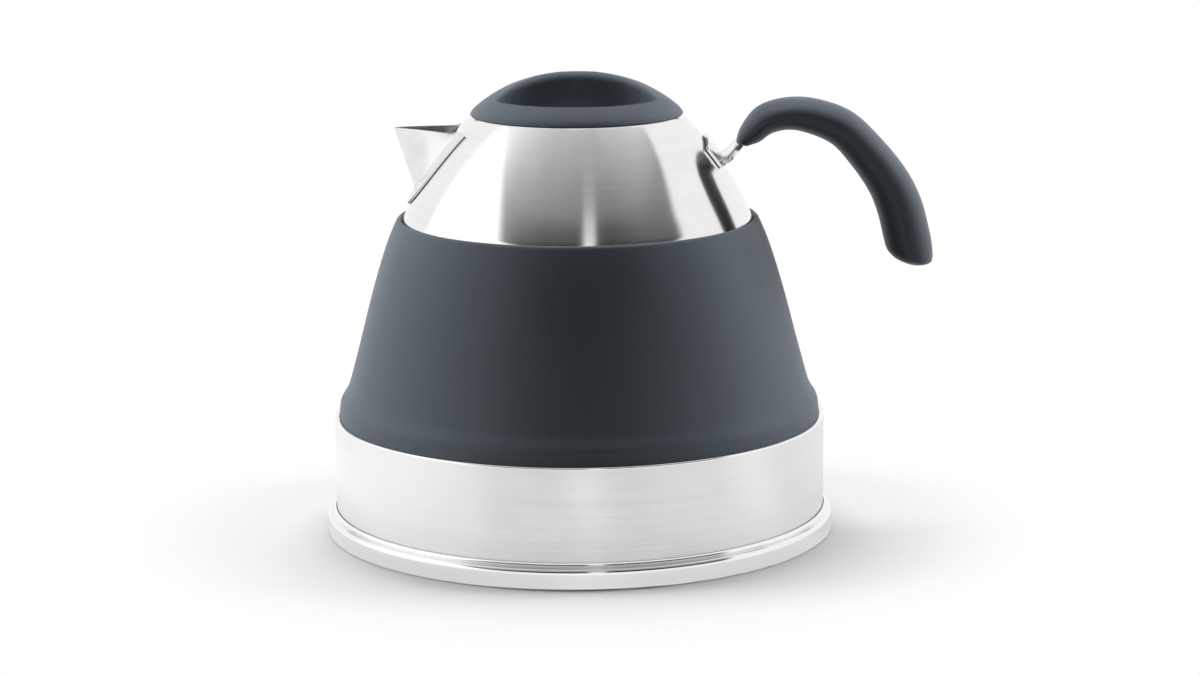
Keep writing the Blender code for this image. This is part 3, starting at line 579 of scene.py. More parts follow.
SLATE_LIGHT = (0.069, 0.085, 0.103, 1.0)
SLATE_DARK = (0.058, 0.072, 0.088, 1.0)
GRIP_LIGHT = (0.066, 0.081, 0.097, 1.0)
GRIP_DARK = (0.055, 0.068, 0.082, 1.0)
CLEAR_LIGHT = (0.62, 0.63, 0.62, 1.0)
CLEAR_DARK = (0.54, 0.55, 0.54, 1.0)
ALUMINIUM_LIGHT = (0.77, 0.78, 0.79, 1.0)
ALUMINIUM_DARK = (0.68, 0.69, 0.70, 1.0)

DOME_STEEL = turned_steel("dome_steel", grey(0.88), grey(0.82), 0.14, 0.6, 0.04)
BAND_STEEL = turned_steel("band_steel", grey(0.83), grey(0.78), 0.36, 0.9, 0.06)
CAP_STEEL = turned_steel("cap_steel", grey(0.90), grey(0.85), 0.09, 0.0, 0.03)
PRESSED_STEEL = plain_steel("pressed_steel", grey(0.82), grey(0.76), 0.22, 0.06)
# The spout's inner face: the same pressed steel, painted much darker as shade.
SPOUT_PAINTED_SHADE = plain_steel("spout_painted_shade", grey(0.46), grey(0.38), 0.40, 0.10)
BRACKET_STEEL = plain_steel("bracket_steel", grey(0.90), grey(0.82), 0.16, 0.10)
INNER_STEEL = turned_steel("inner_steel", grey(0.80), grey(0.70), 0.30, 0.3, 0.15)
SCREW_STEEL = plain_steel("screw_steel", grey(0.82), grey(0.70), 0.16, 0.10)
ALUMINIUM = turned_steel("cast_aluminium", ALUMINIUM_LIGHT, ALUMINIUM_DARK, 0.42, 0.0, 0.2)
WALL_SILICONE = soft_touch("wall_silicone", SLATE_LIGHT, SLATE_DARK, 0.52, 0.18, 0.16, 0.10)
LID_SILICONE = soft_touch("lid_silicone", SLATE_LIGHT, SLATE_DARK, 0.50, 0.18, 0.16)
GRIP_NYLON = soft_touch("grip_nylon", GRIP_LIGHT, GRIP_DARK, 0.47, 0.15, 0.14)
CLEAR_SILICONE = soft_touch("clear_silicone", CLEAR_LIGHT, CLEAR_DARK, 0.42, 0.1, 0.1)


def finished(obj, body, slot, *nodes):
    """Rides the piece on its body and hides the nodes it stands for. The slot is not used."""
    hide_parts(*nodes)
    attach(obj, body)


# Base
def make_cap():
    inner = BASE_RADIUS - SHEET
    shoulder = (BASE_RADIUS - BASE_SHOULDER, BASE_SIDE_HEIGHT)
    fillet = (CAP_LIP_RADIUS + BASE_FILLET, BASE_SIDE_HEIGHT + BASE_SHOULDER + BASE_FILLET)
    corner = (BASE_RADIUS - BASE_CORNER, BASE_CORNER)
    outline = [(0.0, SHEET), (inner - BASE_CORNER, SHEET), (inner, SHEET + BASE_CORNER)]
    outline += arc(shoulder, BASE_SHOULDER - SHEET, 0, 90)
    outline += [(CAP_LIP_RADIUS, BASE_SIDE_HEIGHT + BASE_SHOULDER)]
    outline += arc(fillet, BASE_FILLET, 180, 270, 10)
    outline += arc(shoulder, BASE_SHOULDER, 90, 0, 12)[1:]
    outline += arc(corner, BASE_CORNER, 0, -90, 8)
    outline += [(BASE_RADIUS * 0.5, 0.0), (0.0, 0.0)]
    return turned("cap", outline, CAP_STEEL)


def make_band():
    """The pan with its band, whose polished edge is turned in over the silicone's foot."""
    rim = [(BAND_INNER_RADIUS - RIM_HEM, BAND_TOP - RIM_HEM_DROP)]
    rim += arc((BAND_RADIUS - RIM_CURL, BAND_TOP - RIM_CURL), RIM_CURL, 75, 0, 8)
    side = [rim.pop()]
    side += arc((BAND_RADIUS - BAND_CORNER, PAN_FLOOR - SHEET + BAND_CORNER), BAND_CORNER, 0, -90, 10)
    side += [(0.0, PAN_FLOOR - SHEET)]
    outline = wall_outline(side, SHEET)
    outline[len(side):len(side)] = rim
    band = turned("band", outline, BAND_STEEL)
    band.data.materials.append(CAP_STEEL)
    for face in band.data.polygons:
        if face.center.z > BAND_TOP - RIM_CURL:
            face.material_index = 1
    return band


# Folding wall
def wall_point(row):
    return (
        lerp(DOME_EDGE_RADIUS, WALL_BOTTOM_RADIUS, row[0]),
        lerp(WALL_TOP, WALL_BOTTOM, row[1]),
    )


def make_wall():
    """The silicone wall, blended between base and dome, with the groove for the skirt and the foot."""
    fine = [wall_point(row) for row in smooth_table(WALL_PROFILE_SHARES, WALL_STEPS)]
    coarse = [wall_point(row) for row in WALL_PROFILE_SHARES]
    moved = offset(coarse, -WALL_THICKNESS)
    inner = smooth_table([moved[row] for row in WALL_INNER_ROWS], WALL_INNER_STEPS)
    inner = [tuple(point) for point in inner]
    foot_low = WALL_BOTTOM - FOOT_DEPTH
    foot_inner = WALL_FOOT_RADIUS - FOOT_THICKNESS
    groove_outer = SKIRT_RADIUS + CLEARANCE
    groove_inner = SKIRT_RADIUS - SHEET - CLEARANCE
    groove_floor = SKIRT_BOTTOM - CLEARANCE
    lip_top = groove_floor + LIP_HEIGHT
    lip_inner = groove_inner - LIP_THICKNESS
    outline = [(WALL_FOOT_RADIUS, WALL_BOTTOM - WALL_THICKNESS / 2), (WALL_FOOT_RADIUS, foot_low)]
    outline += [(foot_inner, foot_low), (foot_inner, WALL_BOTTOM + WALL_THICKNESS)]
    outline += inner[::-1]
    outline += [(lip_inner, groove_floor - LIP_FLOOR), (lip_inner, lip_top), (groove_inner, lip_top)]
    outline += [(groove_inner, groove_floor), (groove_outer, groove_floor)]
    outline += [(groove_outer, fine[0][1])]
    outline += fine[1:]
    obj = turned("wall", softened(outline, WALL_SOFTNESS), WALL_SILICONE)
    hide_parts("silicone_body")
    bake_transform(obj)


# Dome
def dome_arc():
    """Centre and radius of the arc that bulges out from the line between the shoulder and the edge."""
    top = Vector((DOME_SHOULDER_RADIUS, SHOULDER_TOP))
    edge = Vector((DOME_EDGE_RADIUS, WALL_TOP))
    chord = (edge - top).length
    radius = chord**2 / (8 * DOME_BULGE) + DOME_BULGE / 2
    along = (edge - top).normalized()
    outwards = Vector((-along.y, along.x))
    return (top + edge) / 2 - outwards * (radius - DOME_BULGE), radius


def dome_radius(z):
    centre, radius = dome_arc()
    return centre.x + math.sqrt(radius**2 - (z - centre.y) ** 2)


def dome_normal(z):
    centre, _ = dome_arc()
    return Vector((dome_radius(z) - centre.x, 0.0, z - centre.y)).normalized()


def make_dome():
    centre, radius = dome_arc()
    start = math.degrees(math.atan2(SHOULDER_TOP - centre.y, DOME_SHOULDER_RADIUS - centre.x))
    end = math.degrees(math.atan2(WALL_TOP - centre.y, DOME_EDGE_RADIUS - centre.x))
    fillet = (NECK_RADIUS + NECK_FILLET, NECK_TOP - NECK_FILLET)
    path = [(NECK_RADIUS, NECK_TOP - NECK_DEPTH)]
    path += arc(fillet, NECK_FILLET, 180, 90, 8)
    path += arc(centre, radius, start, end, DOME_STEPS)
    path += [(SKIRT_RADIUS, WALL_TOP - SHEET), (SKIRT_RADIUS, SKIRT_BOTTOM)]
    obj = turned("dome_shell", wall_outline(path, SHEET), DOME_STEEL)
    bm = bmesh.new()
    turn = Matrix.Rotation(math.radians(90), 4, "Y")
    for row, count in enumerate(STRAINER_ROWS):
        z = SHOULDER_TOP - STRAINER_DROP - STRAINER_PITCH * row
        for i in range(count):
            y = STRAINER_PITCH * (i - (count - 1) / 2)
            bmesh.ops.create_cone(
                bm,
                cap_ends=True,
                segments=STRAINER_SIDES,
                radius1=STRAINER_RADIUS,
                radius2=STRAINER_RADIUS,
                depth=STRAINER_CUT,
                matrix=Matrix.Translation((-dome_radius(z), y, z)) @ turn,
            )
    boolean(obj, mesh_object(bm, "strainer_cutter", DOME_STEEL))
    return obj


# Spout
def on_dome(y, z, lift):
    """The place on the spout's side of the dome, lifted off it."""
    return Vector((-math.sqrt((dome_radius(z) + lift) ** 2 - y**2), y, z))


def tapering(share, power):
    return math.sqrt(max(1.0 - share**power, 0.0))


def flange_edge(z):
    share = (SHOULDER_TOP - SPOUT_ROOT_DROP - z) / (SPOUT_FLANGE_DROP - SPOUT_ROOT_DROP)
    return (SPOUT_HALF_WIDTH + SPOUT_FLANGE_WIDTH) * tapering(share, SPOUT_FLANGE_POWER)


def spout_row(share, lift):
    """One row from the flange's edge over its root to the keel, down one side."""
    z = SHOULDER_TOP - lerp(SPOUT_ROOT_DROP, SPOUT_KEEL_DROP, share)
    edge = flange_edge(z)
    half = SPOUT_HALF_WIDTH * tapering(share, SPOUT_ROOT_POWER)
    root = on_dome(-half, z, lift)
    keel_low = on_dome(0.0, SHOULDER_TOP - SPOUT_KEEL_DROP, lift)
    tip = on_dome(0.0, SHOULDER_TOP - SPOUT_ROOT_DROP, lift) - Vector((SPOUT_TIP_REACH, 0.0, 0.0))
    keel_z = lerp(SHOULDER_TOP - SPOUT_TIP_DROP, keel_low.z, share)
    keel_x = lerp(tip.x, keel_low.x, share)
    points = []
    for i in range(SPOUT_FLANGE_COLUMNS):
        points.append(on_dome(-lerp(edge, half, i / SPOUT_FLANGE_COLUMNS), z, lift))
    for column in range(SPOUT_COLUMNS, -1, -1):
        q = column / SPOUT_COLUMNS
        x = lerp(keel_x, root.x, q**2)
        points.append(Vector((x, -half * q**1.5, lerp(keel_z, z, q**2))))
    return points


def spout_toe_row(share, lift):
    """One row of the flange below the keel."""
    z = SHOULDER_TOP - lerp(SPOUT_KEEL_DROP, SPOUT_FLANGE_DROP, share)
    edge = flange_edge(z)
    count = SPOUT_FLANGE_COLUMNS + SPOUT_COLUMNS + 1
    return [on_dome(-edge * (1 - i / (count - 1)), z, lift) for i in range(count)]


def make_spout():
    """Half the sheet, mirrored, with its thickness added outwards."""
    rows = [spout_row(i / SPOUT_ROWS, CLEARANCE) for i in range(SPOUT_ROWS)]
    rows += [spout_toe_row((i / SPOUT_TOE_ROWS) ** 1.5, CLEARANCE) for i in range(SPOUT_TOE_ROWS)]
    bm = bmesh.new()
    made = [[bm.verts.new(point) for point in row] for row in rows]
    toe = bm.verts.new(on_dome(0.0, SHOULDER_TOP - SPOUT_FLANGE_DROP, CLEARANCE))
    for high, low in zip(made, made[1:]):
        for i in range(len(high) - 1):
            bm.faces.new((high[i], high[i + 1], low[i + 1], low[i]))
    for a, b in zip(made[-1], made[-1][1:]):
        bm.faces.new((a, b, toe))
    bmesh.ops.mirror(bm, geom=bm.faces[:] + bm.edges[:] + bm.verts[:], axis="Y", merge_dist=MERGE)
    obj = mesh_object(bm, "spout_sheet", PRESSED_STEEL, SPOUT_SHARP_ANGLE)
    solidify = obj.modifiers.new("sheet", "SOLIDIFY")
    solidify.thickness = SPOUT_SHEET
    solidify.offset = 1.0
    solidify.use_even_offset = True
    # The solidified sheet's second face takes the darker copy of the steel: painted shade.
    obj.data.materials.append(SPOUT_PAINTED_SHADE)
    solidify.material_offset = 1
    bevelled(obj, SPOUT_EDGE)
    return obj


# Handle
def handle_matrix():
    """The handle's frame on the dome: down it, across it and out of it."""
    normal = dome_normal(HANDLE_HEIGHT)
    down = Vector((normal.z, 0.0, -normal.x))
    matrix = Matrix((down, normal.cross(down), normal)).transposed().to_4x4()
    matrix.translation = Vector((dome_radius(HANDLE_HEIGHT), 0.0, HANDLE_HEIGHT))
    return matrix


def over_dome(drop, across, lift):
    """The place on the handle's side of the dome, lifted off it."""
    centre, radius = dome_arc()
    angle = math.asin((HANDLE_HEIGHT - centre.y) / radius) - drop / radius
    turn = math.asin(across / (centre.x + radius * math.cos(angle)))
    reach = centre.x + (radius + lift) * math.cos(angle)
    z = centre.y + (radius + lift) * math.sin(angle)
    return Vector((reach * math.cos(turn), reach * math.sin(turn), z))


def grip_station(place):
    """The grip's place, directions and section at a place in its table."""
    reach, drop, thick, wide, seam, slope = table_row(GRIP_STATION_SHARES, place)
    thickness = GRIP_THICKNESS * thick
    along = Vector((math.cos(math.radians(slope)), 0.0, math.sin(math.radians(slope))))
    start = handle_matrix() @ Vector((GRIP_START_DROP, 0.0, GRIP_START_RISE))
    return {
        "point": start + Vector((GRIP_REACH * reach, 0.0, GRIP_DROP * drop)),
        "along": along,
        "out": Vector((-along.z, 0.0, along.x)),
        "thickness": thickness,
        "width": GRIP_WIDTH * wide,
        "seam": thickness * seam,
    }


def grip_half_ring(station, side, steps, gap, groove):
    """One half's section, drawn in towards the seam by the groove's depth."""
    half_wide = station["width"] / 2
    half_thick = station["thickness"] / 2
    level = station["seam"] + side * gap / 2
    start = side * math.copysign(math.asin((abs(level) / half_thick) ** (GRIP_ROUNDNESS / 2)), level)
    ring = []
    for step in range(steps + 1):
        share = step / steps
        eased = lerp(share, 0.5 - 0.5 * math.cos(math.pi * share), 0.6)
        angle = lerp(start, math.pi - start, eased)
        across = math.copysign(abs(math.cos(angle)) ** (2 / GRIP_ROUNDNESS), math.cos(angle))
        rise = math.copysign(abs(math.sin(angle)) ** (2 / GRIP_ROUNDNESS), math.sin(angle))
        height = side * half_thick * rise
        drawn = half_wide - groove * math.exp(-abs(height - level) / GROOVE_WIDTH)
        ring.append(station["point"] + station["out"] * height + Vector((0.0, drawn * across, 0.0)))
    return ring


def make_grip(name, side):
    """The upper half for side 1, the lower for -1. The seam closes and its groove ends on the way."""
    last = len(GRIP_STATION_SHARES) - 1
    rings = []
    for i in range(GRIP_RINGS + 1):
        place = last * i / GRIP_RINGS
        near = max(0.0, 1.0 - place / GROOVE_END) ** 0.7
        gap = lerp(SEAM_GAP, CLEARANCE, near)
        rings.append(grip_half_ring(grip_station(place), side, GRIP_SIDE_STEPS, gap, GROOVE_DEPTH * near))
    return mesh_object(loft_mesh(rings), name, GRIP_NYLON, SOFT_SHARP_ANGLE)


def saddle_mesh():
    """The bracket's plate, which follows the dome."""
    fine = smooth_table(SADDLE_SHARES, SADDLE_STEPS)
    sides = [(-across, rise, drop) for across, rise, drop in fine[:-1]]
    rings = []
    for across_share, rise_share, drop_share in sides + fine[::-1]:
        across = SADDLE_HALF_WIDTH * across_share
        high = -SADDLE_RISE * rise_share
        low = SADDLE_DROP * drop_share
        drops = [lerp(high, low, i / SADDLE_ROWS) for i in range(SADDLE_ROWS + 1)]
        ring = [over_dome(drop, across, CLEARANCE) for drop in drops]
        ring += [over_dome(drop, across, CLEARANCE + BRACKET_SHEET) for drop in drops[::-1]]
        rings.append(ring)
    return loft_mesh(rings)


def channel_outline(width, depth, spread):
    """Places across and down a U whose web is its upper side, with rounded shoulders."""
    half = width / 2
    corner = min(CHANNEL_CORNER, depth * 0.4)
    outer = [(half + spread, depth)]
    for angle in (0.0, 0.4, 0.8, 1.17, math.pi / 2):
        outer.append((half - corner + corner * math.cos(angle), corner - corner * math.sin(angle)))
    wall = half - BRACKET_SHEET
    inner = [(half + spread - BRACKET_SHEET, depth)]
    inner += [(wall, BRACKET_SHEET + CHANNEL_FILLET), (wall - CHANNEL_FILLET, BRACKET_SHEET)]
    right = outer[::-1] + inner
    left = [(-x, y) for x, y in right[::-1]]
    return right + left


def make_bracket():
    """The saddle with the channel that rises from it and enters the grip."""
    obj = mesh_object(saddle_mesh(), "bracket", BRACKET_STEEL)
    frame_matrix = handle_matrix()
    foot_top = ARM_DROP - ARM_ROOT_FILLET
    foot = channel_outline(ARM_ROOT_WIDTH, ARM_DEPTH + ARM_ROOT_FILLET, ARM_ROOT_SPREAD)
    rings = [[over_dome(foot_top + down, across, CLEARANCE + BRACKET_SHEET / 2) for across, down in foot]]
    for rise_share, back_share, width_share, spread_share in ARM_SHARES:
        top = ARM_DROP - ARM_BEND_BACK * back_share
        width = lerp(ARM_WIDTH, ARM_ROOT_WIDTH, width_share)
        rise = ARM_RISE * rise_share
        outline = channel_outline(width, ARM_DEPTH, ARM_ROOT_SPREAD * spread_share)
        rings.append([frame_matrix @ Vector((top + down, across, rise)) for across, down in outline])
    start = grip_station(0.0)
    web_top = start["seam"] + 2 * CLEARANCE + BRACKET_SHEET
    mouth = start["point"] - start["along"] * CLEARANCE + start["out"] * web_top
    outline = channel_outline(ARM_WIDTH, ARM_DEPTH, 0.0)
    rings.append([mouth - start["out"] * down + Vector((0.0, across, 0.0)) for across, down in outline])
    arm = mesh_object(loft_mesh(smooth_table(rings, ARM_STEPS)), "arm_form", BRACKET_STEEL)
    boolean(obj, arm, "UNION", BRACKET_WELD)
    obj.data.shade_smooth()
    obj.data.set_sharp_from_angle(angle=math.radians(SHARP_ANGLE))
    bevelled(obj, BRACKET_EDGE)
    return obj


# Lid
def lid_plate_path():
    """The upper face of the plate under the cover, from its middle to its rim."""
    top = NECK_TOP + CLEARANCE + LID_SHEET
    side = NECK_RADIUS - CLEARANCE
    floor = top - LID_DISH_DEPTH
    shoulder = NECK_RADIUS + NECK_FILLET
    path = [(0.0, floor)]
    path += arc((side - LID_DISH_CORNER, floor + LID_DISH_CORNER), LID_DISH_CORNER, -90, 0, 2)
    path += arc((side + LID_DISH_CORNER, top - LID_DISH_CORNER), LID_DISH_CORNER, 180, 90, 2)
    path += [(shoulder, top), (LID_RIM_RADIUS, top - RIM_SLOPE_SHARE * (LID_RIM_RADIUS - shoulder))]
    return path


def curve_value(pairs, place):
    """The value on a line through the pairs, held before its start and carried on past its end."""
    if place <= pairs[0][0]:
        return pairs[0][1]
    for (a, low), (b, high) in zip(pairs, pairs[1:]):
        if place <= b:
            break
    return lerp(low, high, (place - a) / (b - a))


def soft_least(a, b, reach):
    """The lesser of two heights, with the corner between them rounded over the reach."""
    near = max(reach - abs(a - b), 0.0) / reach
    return min(a, b) - near**2 * reach / 4


def lid_height(top, lip, ridge, reach):
    """The cover's height where its dome, the scoop's wall below the lip and the ridge's face have these."""
    wall = soft_least(top, lip, LIP_SOFTNESS)
    depth = top - max(wall, ridge)
    return -soft_least(-wall, -ridge, min(reach, FILLET_SHARE * depth + LEAST_FILLET))


def lid_rings():
    """Rings of the cover's upper side, from its edge to its middle."""
    low = SHOULDER_TOP + CLEARANCE / 2
    dome = smooth_table(LID_PROFILE_SHARES, LID_TABLE_STEPS)
    dome = [(LID_RADIUS * r, low + (LID_TOP - low) * h) for r, h in dome]
    dome[0] = (0.0, LID_TOP)
    depth = SCOOP_DEPTH + OVERRUN
    levels = smooth_table(SCOOP_LEVEL_SHARES, LID_TABLE_STEPS)
    levels = [(LID_TOP - SCOOP_DEPTH + depth * h, lip, ridge) for h, lip, ridge in levels]
    lip_curve = [(SCOOP_RADIUS * lip, z) for z, lip, _ in levels]
    crest = LID_TOP - CREST_DEPTH
    ridge_curve = [(-RIDGE_FOOT_HALF * ridge, z - LID_TOP) for z, _, ridge in levels if z < crest]
    half = -ridge_curve[-1][0]
    for step in range(1, CREST_STEPS + 1):
        turn = math.radians(90 * step / CREST_STEPS)
        ridge_curve.append((-half * math.cos(turn), -CREST_DEPTH * (1 - math.sin(turn))))
    radii = {round(r, 5) for r, _ in dome[1:]} | {round(r, 5) for r, _ in lip_curve}
    radii |= {round(LID_STEP * i, 5) for i in range(1, int(lip_curve[0][0] / LID_STEP))}
    rings = []
    for radius in sorted(radii, reverse=True):
        if rings and abs(rings[-1][0].xy.length - radius) < LID_LEAST_STEP:
            continue
        top = curve_value(dome, radius)
        lip = curve_value(lip_curve, radius)
        ring = []
        for step in range(LID_STEPS):
            angle = 2 * math.pi * step / LID_STEPS
            x, y = radius * math.cos(angle), radius * math.sin(angle)
            end = (x / SCOOP_RADIUS) ** 4
            ridge = top + curve_value(ridge_curve, min(RIDGE_FLARE * end - abs(y), 0.0))
            reach = lerp(SCOOP_SOFTNESS, END_SOFTNESS, end)
            ring.append(Vector((x, y, lid_height(top, lip, ridge, reach))))
        rings.append(ring)
    return rings


def make_lid():
    """The cover: its upper side, its edge on the dome's shoulder and its underside over the plate."""
    top_edge = dome_radius(SHOULDER_TOP)
    low = SHOULDER_TOP + CLEARANCE / 2
    under = offset(lid_plate_path(), CLEARANCE)
    under[0] = (0.0, under[0][1])
    rim = under[-1]
    heel = rim[0] + CLEARANCE
    edge = [(top_edge, low), (heel, low + RIM_SLOPE_SHARE * (top_edge - heel)), (heel, rim[1] - CLEARANCE)]
    bm = bmesh.new()
    rings = [[bm.verts.new(point) for point in ring] for ring in lid_rings()[::-1]]
    turns = [2 * math.pi * step / LID_STEPS for step in range(LID_STEPS)]
    for radius, z in edge + under[:0:-1]:
        rings.append([bm.verts.new((radius * math.cos(a), radius * math.sin(a), z)) for a in turns])
    for a, b in zip(rings, rings[1:]):
        for i in range(LID_STEPS):
            j = (i + 1) % LID_STEPS
            bm.faces.new((a[i], a[j], b[j], b[i]))
    for ring, z in ((rings[0], LID_TOP), (rings[-1], under[0][1])):
        middle = bm.verts.new((0.0, 0.0, z))
        for i in range(LID_STEPS):
            bm.faces.new((ring[i], ring[(i + 1) % LID_STEPS], middle))
    return mesh_object(bm, "lid_shell", LID_SILICONE, SOFT_SHARP_ANGLE)


finished(make_cap(), "base", "polished_steel", "base_cap")
finished(make_band(), "base", "brushed_steel", "base_pan")
make_wall()
finished(make_dome(), "dome", "brushed_steel", "upper_shell")
finished(make_spout(), "dome", "brushed_steel", "spout")
finished(make_bracket(), "dome", "polished_steel", "handle_bracket")
finished(make_grip("grip_top", 1), "dome", "grip_nylon", "grip_upper")
finished(make_grip("grip_under", -1), "dome", "grip_nylon", "grip_lower")
finished(make_lid(), "lid", "silicone", "lid_cover")

KEPT_NODES = {
    "base_core_disc": ALUMINIUM,
    "lower_clamp_ring": INNER_STEEL,
    "upper_clamp_ring": INNER_STEEL,
    "grip_screw_front": SCREW_STEEL,
    "grip_screw_rear": SCREW_STEEL,
    "lid_plate": INNER_STEEL,
    "lid_collar": INNER_STEEL,
    "lid_gasket": CLEAR_SILICONE,
}
for node, material in KEPT_NODES.items():
    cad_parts[node].material_slots[0].material = material


# Studio
FLOOR_SIZE = 8.0
FLOOR_GREY = 0.66
WORLD_LEVEL = 0.06
# Distances from the axis between which the shadow on the floor fades out
SHADOW_START = 0.088
SHADOW_END = 0.170


def stage_material(name, build):
    material = bpy.data.materials.new(name)
    material.use_nodes = True
    tree = material.node_tree
    tree.nodes.clear()
    out = tree.nodes.new("ShaderNodeOutputMaterial")
    build(tree, out)
    return material


def seen_rays(tree):
    """1 for rays from the camera, in reflections and through glass, and 0 for the light on the object."""
    path = tree.nodes.new("ShaderNodeLightPath")
    total = path.outputs["Is Camera Ray"]
    for other in ("Is Glossy Ray", "Is Transmission Ray"):
        node = tree.nodes.new("ShaderNodeMath")
        node.operation = "MAXIMUM"
        tree.links.new(total, node.inputs[0])
        tree.links.new(path.outputs[other], node.inputs[1])
        total = node.outputs[0]
    return total


def floor_nodes(tree, out):
    """White where it is seen, with the lamps' light and shadow mixed in near the object."""
    glow = tree.nodes.new("ShaderNodeEmission")
    glow.inputs["Color"].default_value = (1.0, 1.0, 1.0, 1.0)
    tree.links.new(seen_rays(tree), glow.inputs["Strength"])
    lit = tree.nodes.new("ShaderNodeBsdfDiffuse")
    lit.inputs["Color"].default_value = (FLOOR_GREY, FLOOR_GREY, FLOOR_GREY, 1.0)
    near = tree.nodes.new("ShaderNodeVectorMath")
    near.operation = "LENGTH"
    tree.links.new(tree.nodes.new("ShaderNodeTexCoord").outputs["Object"], near.inputs[0])
    fade = tree.nodes.new("ShaderNodeMapRange")
    fade.interpolation_type = "SMOOTHSTEP"
    limits = {"From Min": SHADOW_START, "From Max": SHADOW_END, "To Min": 1.0, "To Max": 0.0}
    for socket, value in limits.items():
        fade.inputs[socket].default_value = value
    tree.links.new(near.outputs["Value"], fade.inputs["Value"])
    mix = tree.nodes.new("ShaderNodeMixShader")
    tree.links.new(fade.outputs["Result"], mix.inputs[0])
    tree.links.new(glow.outputs[0], mix.inputs[1])
    tree.links.new(lit.outputs[0], mix.inputs[2])
    tree.links.new(mix.outputs[0], out.inputs["Surface"])


def make_floor():
    bm = bmesh.new()
    bmesh.ops.create_grid(bm, x_segments=1, y_segments=1, size=FLOOR_SIZE)
    obj = mesh_object(bm, "floor", stage_material("floor_white", floor_nodes))


# Cards that only reflections show, on spheres round a point on the axis
CARD_RADIUS = 1.15
SOFTBOX_RADIUS = 1.3
CARD_CENTRE = 0.08
CARD_COLUMNS = 10
CARD_STEPS = 4
EDGE_BLEND = 5.0
# The canopy by levels in degrees: azimuths and strengths on its left, the strength of its left and right
# middle, the strip's own, and azimuths and strengths on its right
CANOPY = (
    (16, (-30, 0.10), (-25, 0.08), (-18, 0.05), 0.04, 0.80, 0.04, (24, 0.04), (45, 0.05), (62, 0.06)),
    (28, (-49, 0.08), (-36, 0.06), (-22, 0.05), 0.04, 0.90, 0.04, (26, 0.05), (45, 0.06), (73, 0.08)),
    (35, (-54, 0.28), (-42, 0.13), (-25, 0.07), 0.05, 0.90, 0.05, (25, 0.05), (50, 0.12), (74, 0.22)),
    (41, (-60, 0.40), (-45, 0.27), (-25, 0.14), 0.10, 0.75, 0.09, (25, 0.09), (48, 0.22), (81, 0.26)),
    (46, (-68, 0.50), (-45, 0.37), (-25, 0.30), 0.25, 0.52, 0.23, (27, 0.23), (55, 0.33), (90, 0.30)),
    (52, (-88, 0.90), (-62, 0.50), (-35, 0.37), 0.28, 0.40, 0.27, (31, 0.28), (66, 0.43), (105, 0.55)),
    (58, (-100, 0.92), (-65, 0.62), (-35, 0.42), 0.33, 0.40, 0.33, (37, 0.36), (72, 0.52), (105, 0.75)),
    (66, (-112, 0.95), (-75, 0.70), (-40, 0.50), 0.42, 0.44, 0.42, (45, 0.48), (80, 0.62), (115, 0.85)),
    (75, (-130, 1.00), (-85, 0.72), (-45, 0.58), 0.50, 0.52, 0.50, (45, 0.55), (85, 0.70), (130, 0.90)),
    (84, (-150, 1.00), (-95, 0.80), (-50, 0.65), 0.60, 0.60, 0.60, (50, 0.65), (95, 0.80), (150, 0.95)),
)
# The strip's middle, half width and soft edge, as shares of the sphere's radius
STRIP_OFFSET = 0.112
STRIP_HALF = 0.040
STRIP_EDGE = 0.035
STRIP_LIMIT = 0.95
# The azimuths that the plain cards span, their levels and the strength at each level
SOFTBOX = ((-118.0, -45.0), (4.0, 20.0, 40.0, 52.0), (1.25, 1.3, 1.3, 1.25))
BACK_CARD = ((150.0, 210.0), (22.0, 32.0, 45.0, 60.0, 75.0), (0.2, 0.2, 0.3, 0.4, 0.6))


def on_card(azimuth, level, radius):
    """A place on the cards' sphere. Azimuth 0 is on the camera's side and 90 on the handle's."""
    azimuth, level = math.radians(azimuth), math.radians(level)
    reach = radius * math.cos(level)
    return (reach * math.sin(azimuth), -reach * math.cos(azimuth), CARD_CENTRE + radius * math.sin(level))


def glow_nodes(tree, out):
    """Light of the strength that is painted on the card's corners."""
    strength = tree.nodes.new("ShaderNodeAttribute")
    strength.attribute_name = "strength"
    glow = tree.nodes.new("ShaderNodeEmission")
    tree.links.new(strength.outputs["Color"], glow.inputs["Color"])
    tree.links.new(glow.outputs[0], out.inputs["Surface"])


def card(name, rows, radius=CARD_RADIUS):
    """A curved card. A row is a list of (azimuth, level, strength), with a radius of its own or none."""
    bm = bmesh.new()
    layer = bm.loops.layers.float_color.new("strength")
    grid = []
    for row in rows:
        made = []
        for azimuth, level, value, *own in row:
            made.append((bm.verts.new(on_card(azimuth, level, *(own or [radius]))), value))
        grid.append(made)
    for low, high in zip(grid, grid[1:]):
        for i in range(len(low) - 1):
            corners = (low[i], low[i + 1], high[i + 1], high[i])
            face = bm.faces.new([vert for vert, _ in corners])
            for loop in face.loops:
                value = next(value for vert, value in corners if vert == loop.vert)
                loop[layer] = (value, value, value, 1.0)
    obj = mesh_object(bm, name, stage_material(name + "_paint", glow_nodes))
    obj.visible_camera = False
    obj.visible_diffuse = False
    obj.visible_shadow = False
    obj.visible_transmission = False


def subdivided(nodes):
    """The nodes and places between them, each an (azimuth, strength)."""
    made = []
    for (a0, v0), (a1, v1) in zip(nodes, nodes[1:]):
        made += [(lerp(a0, a1, i / CARD_STEPS), lerp(v0, v1, i / CARD_STEPS)) for i in range(CARD_STEPS)]
    return made + [nodes[-1]]


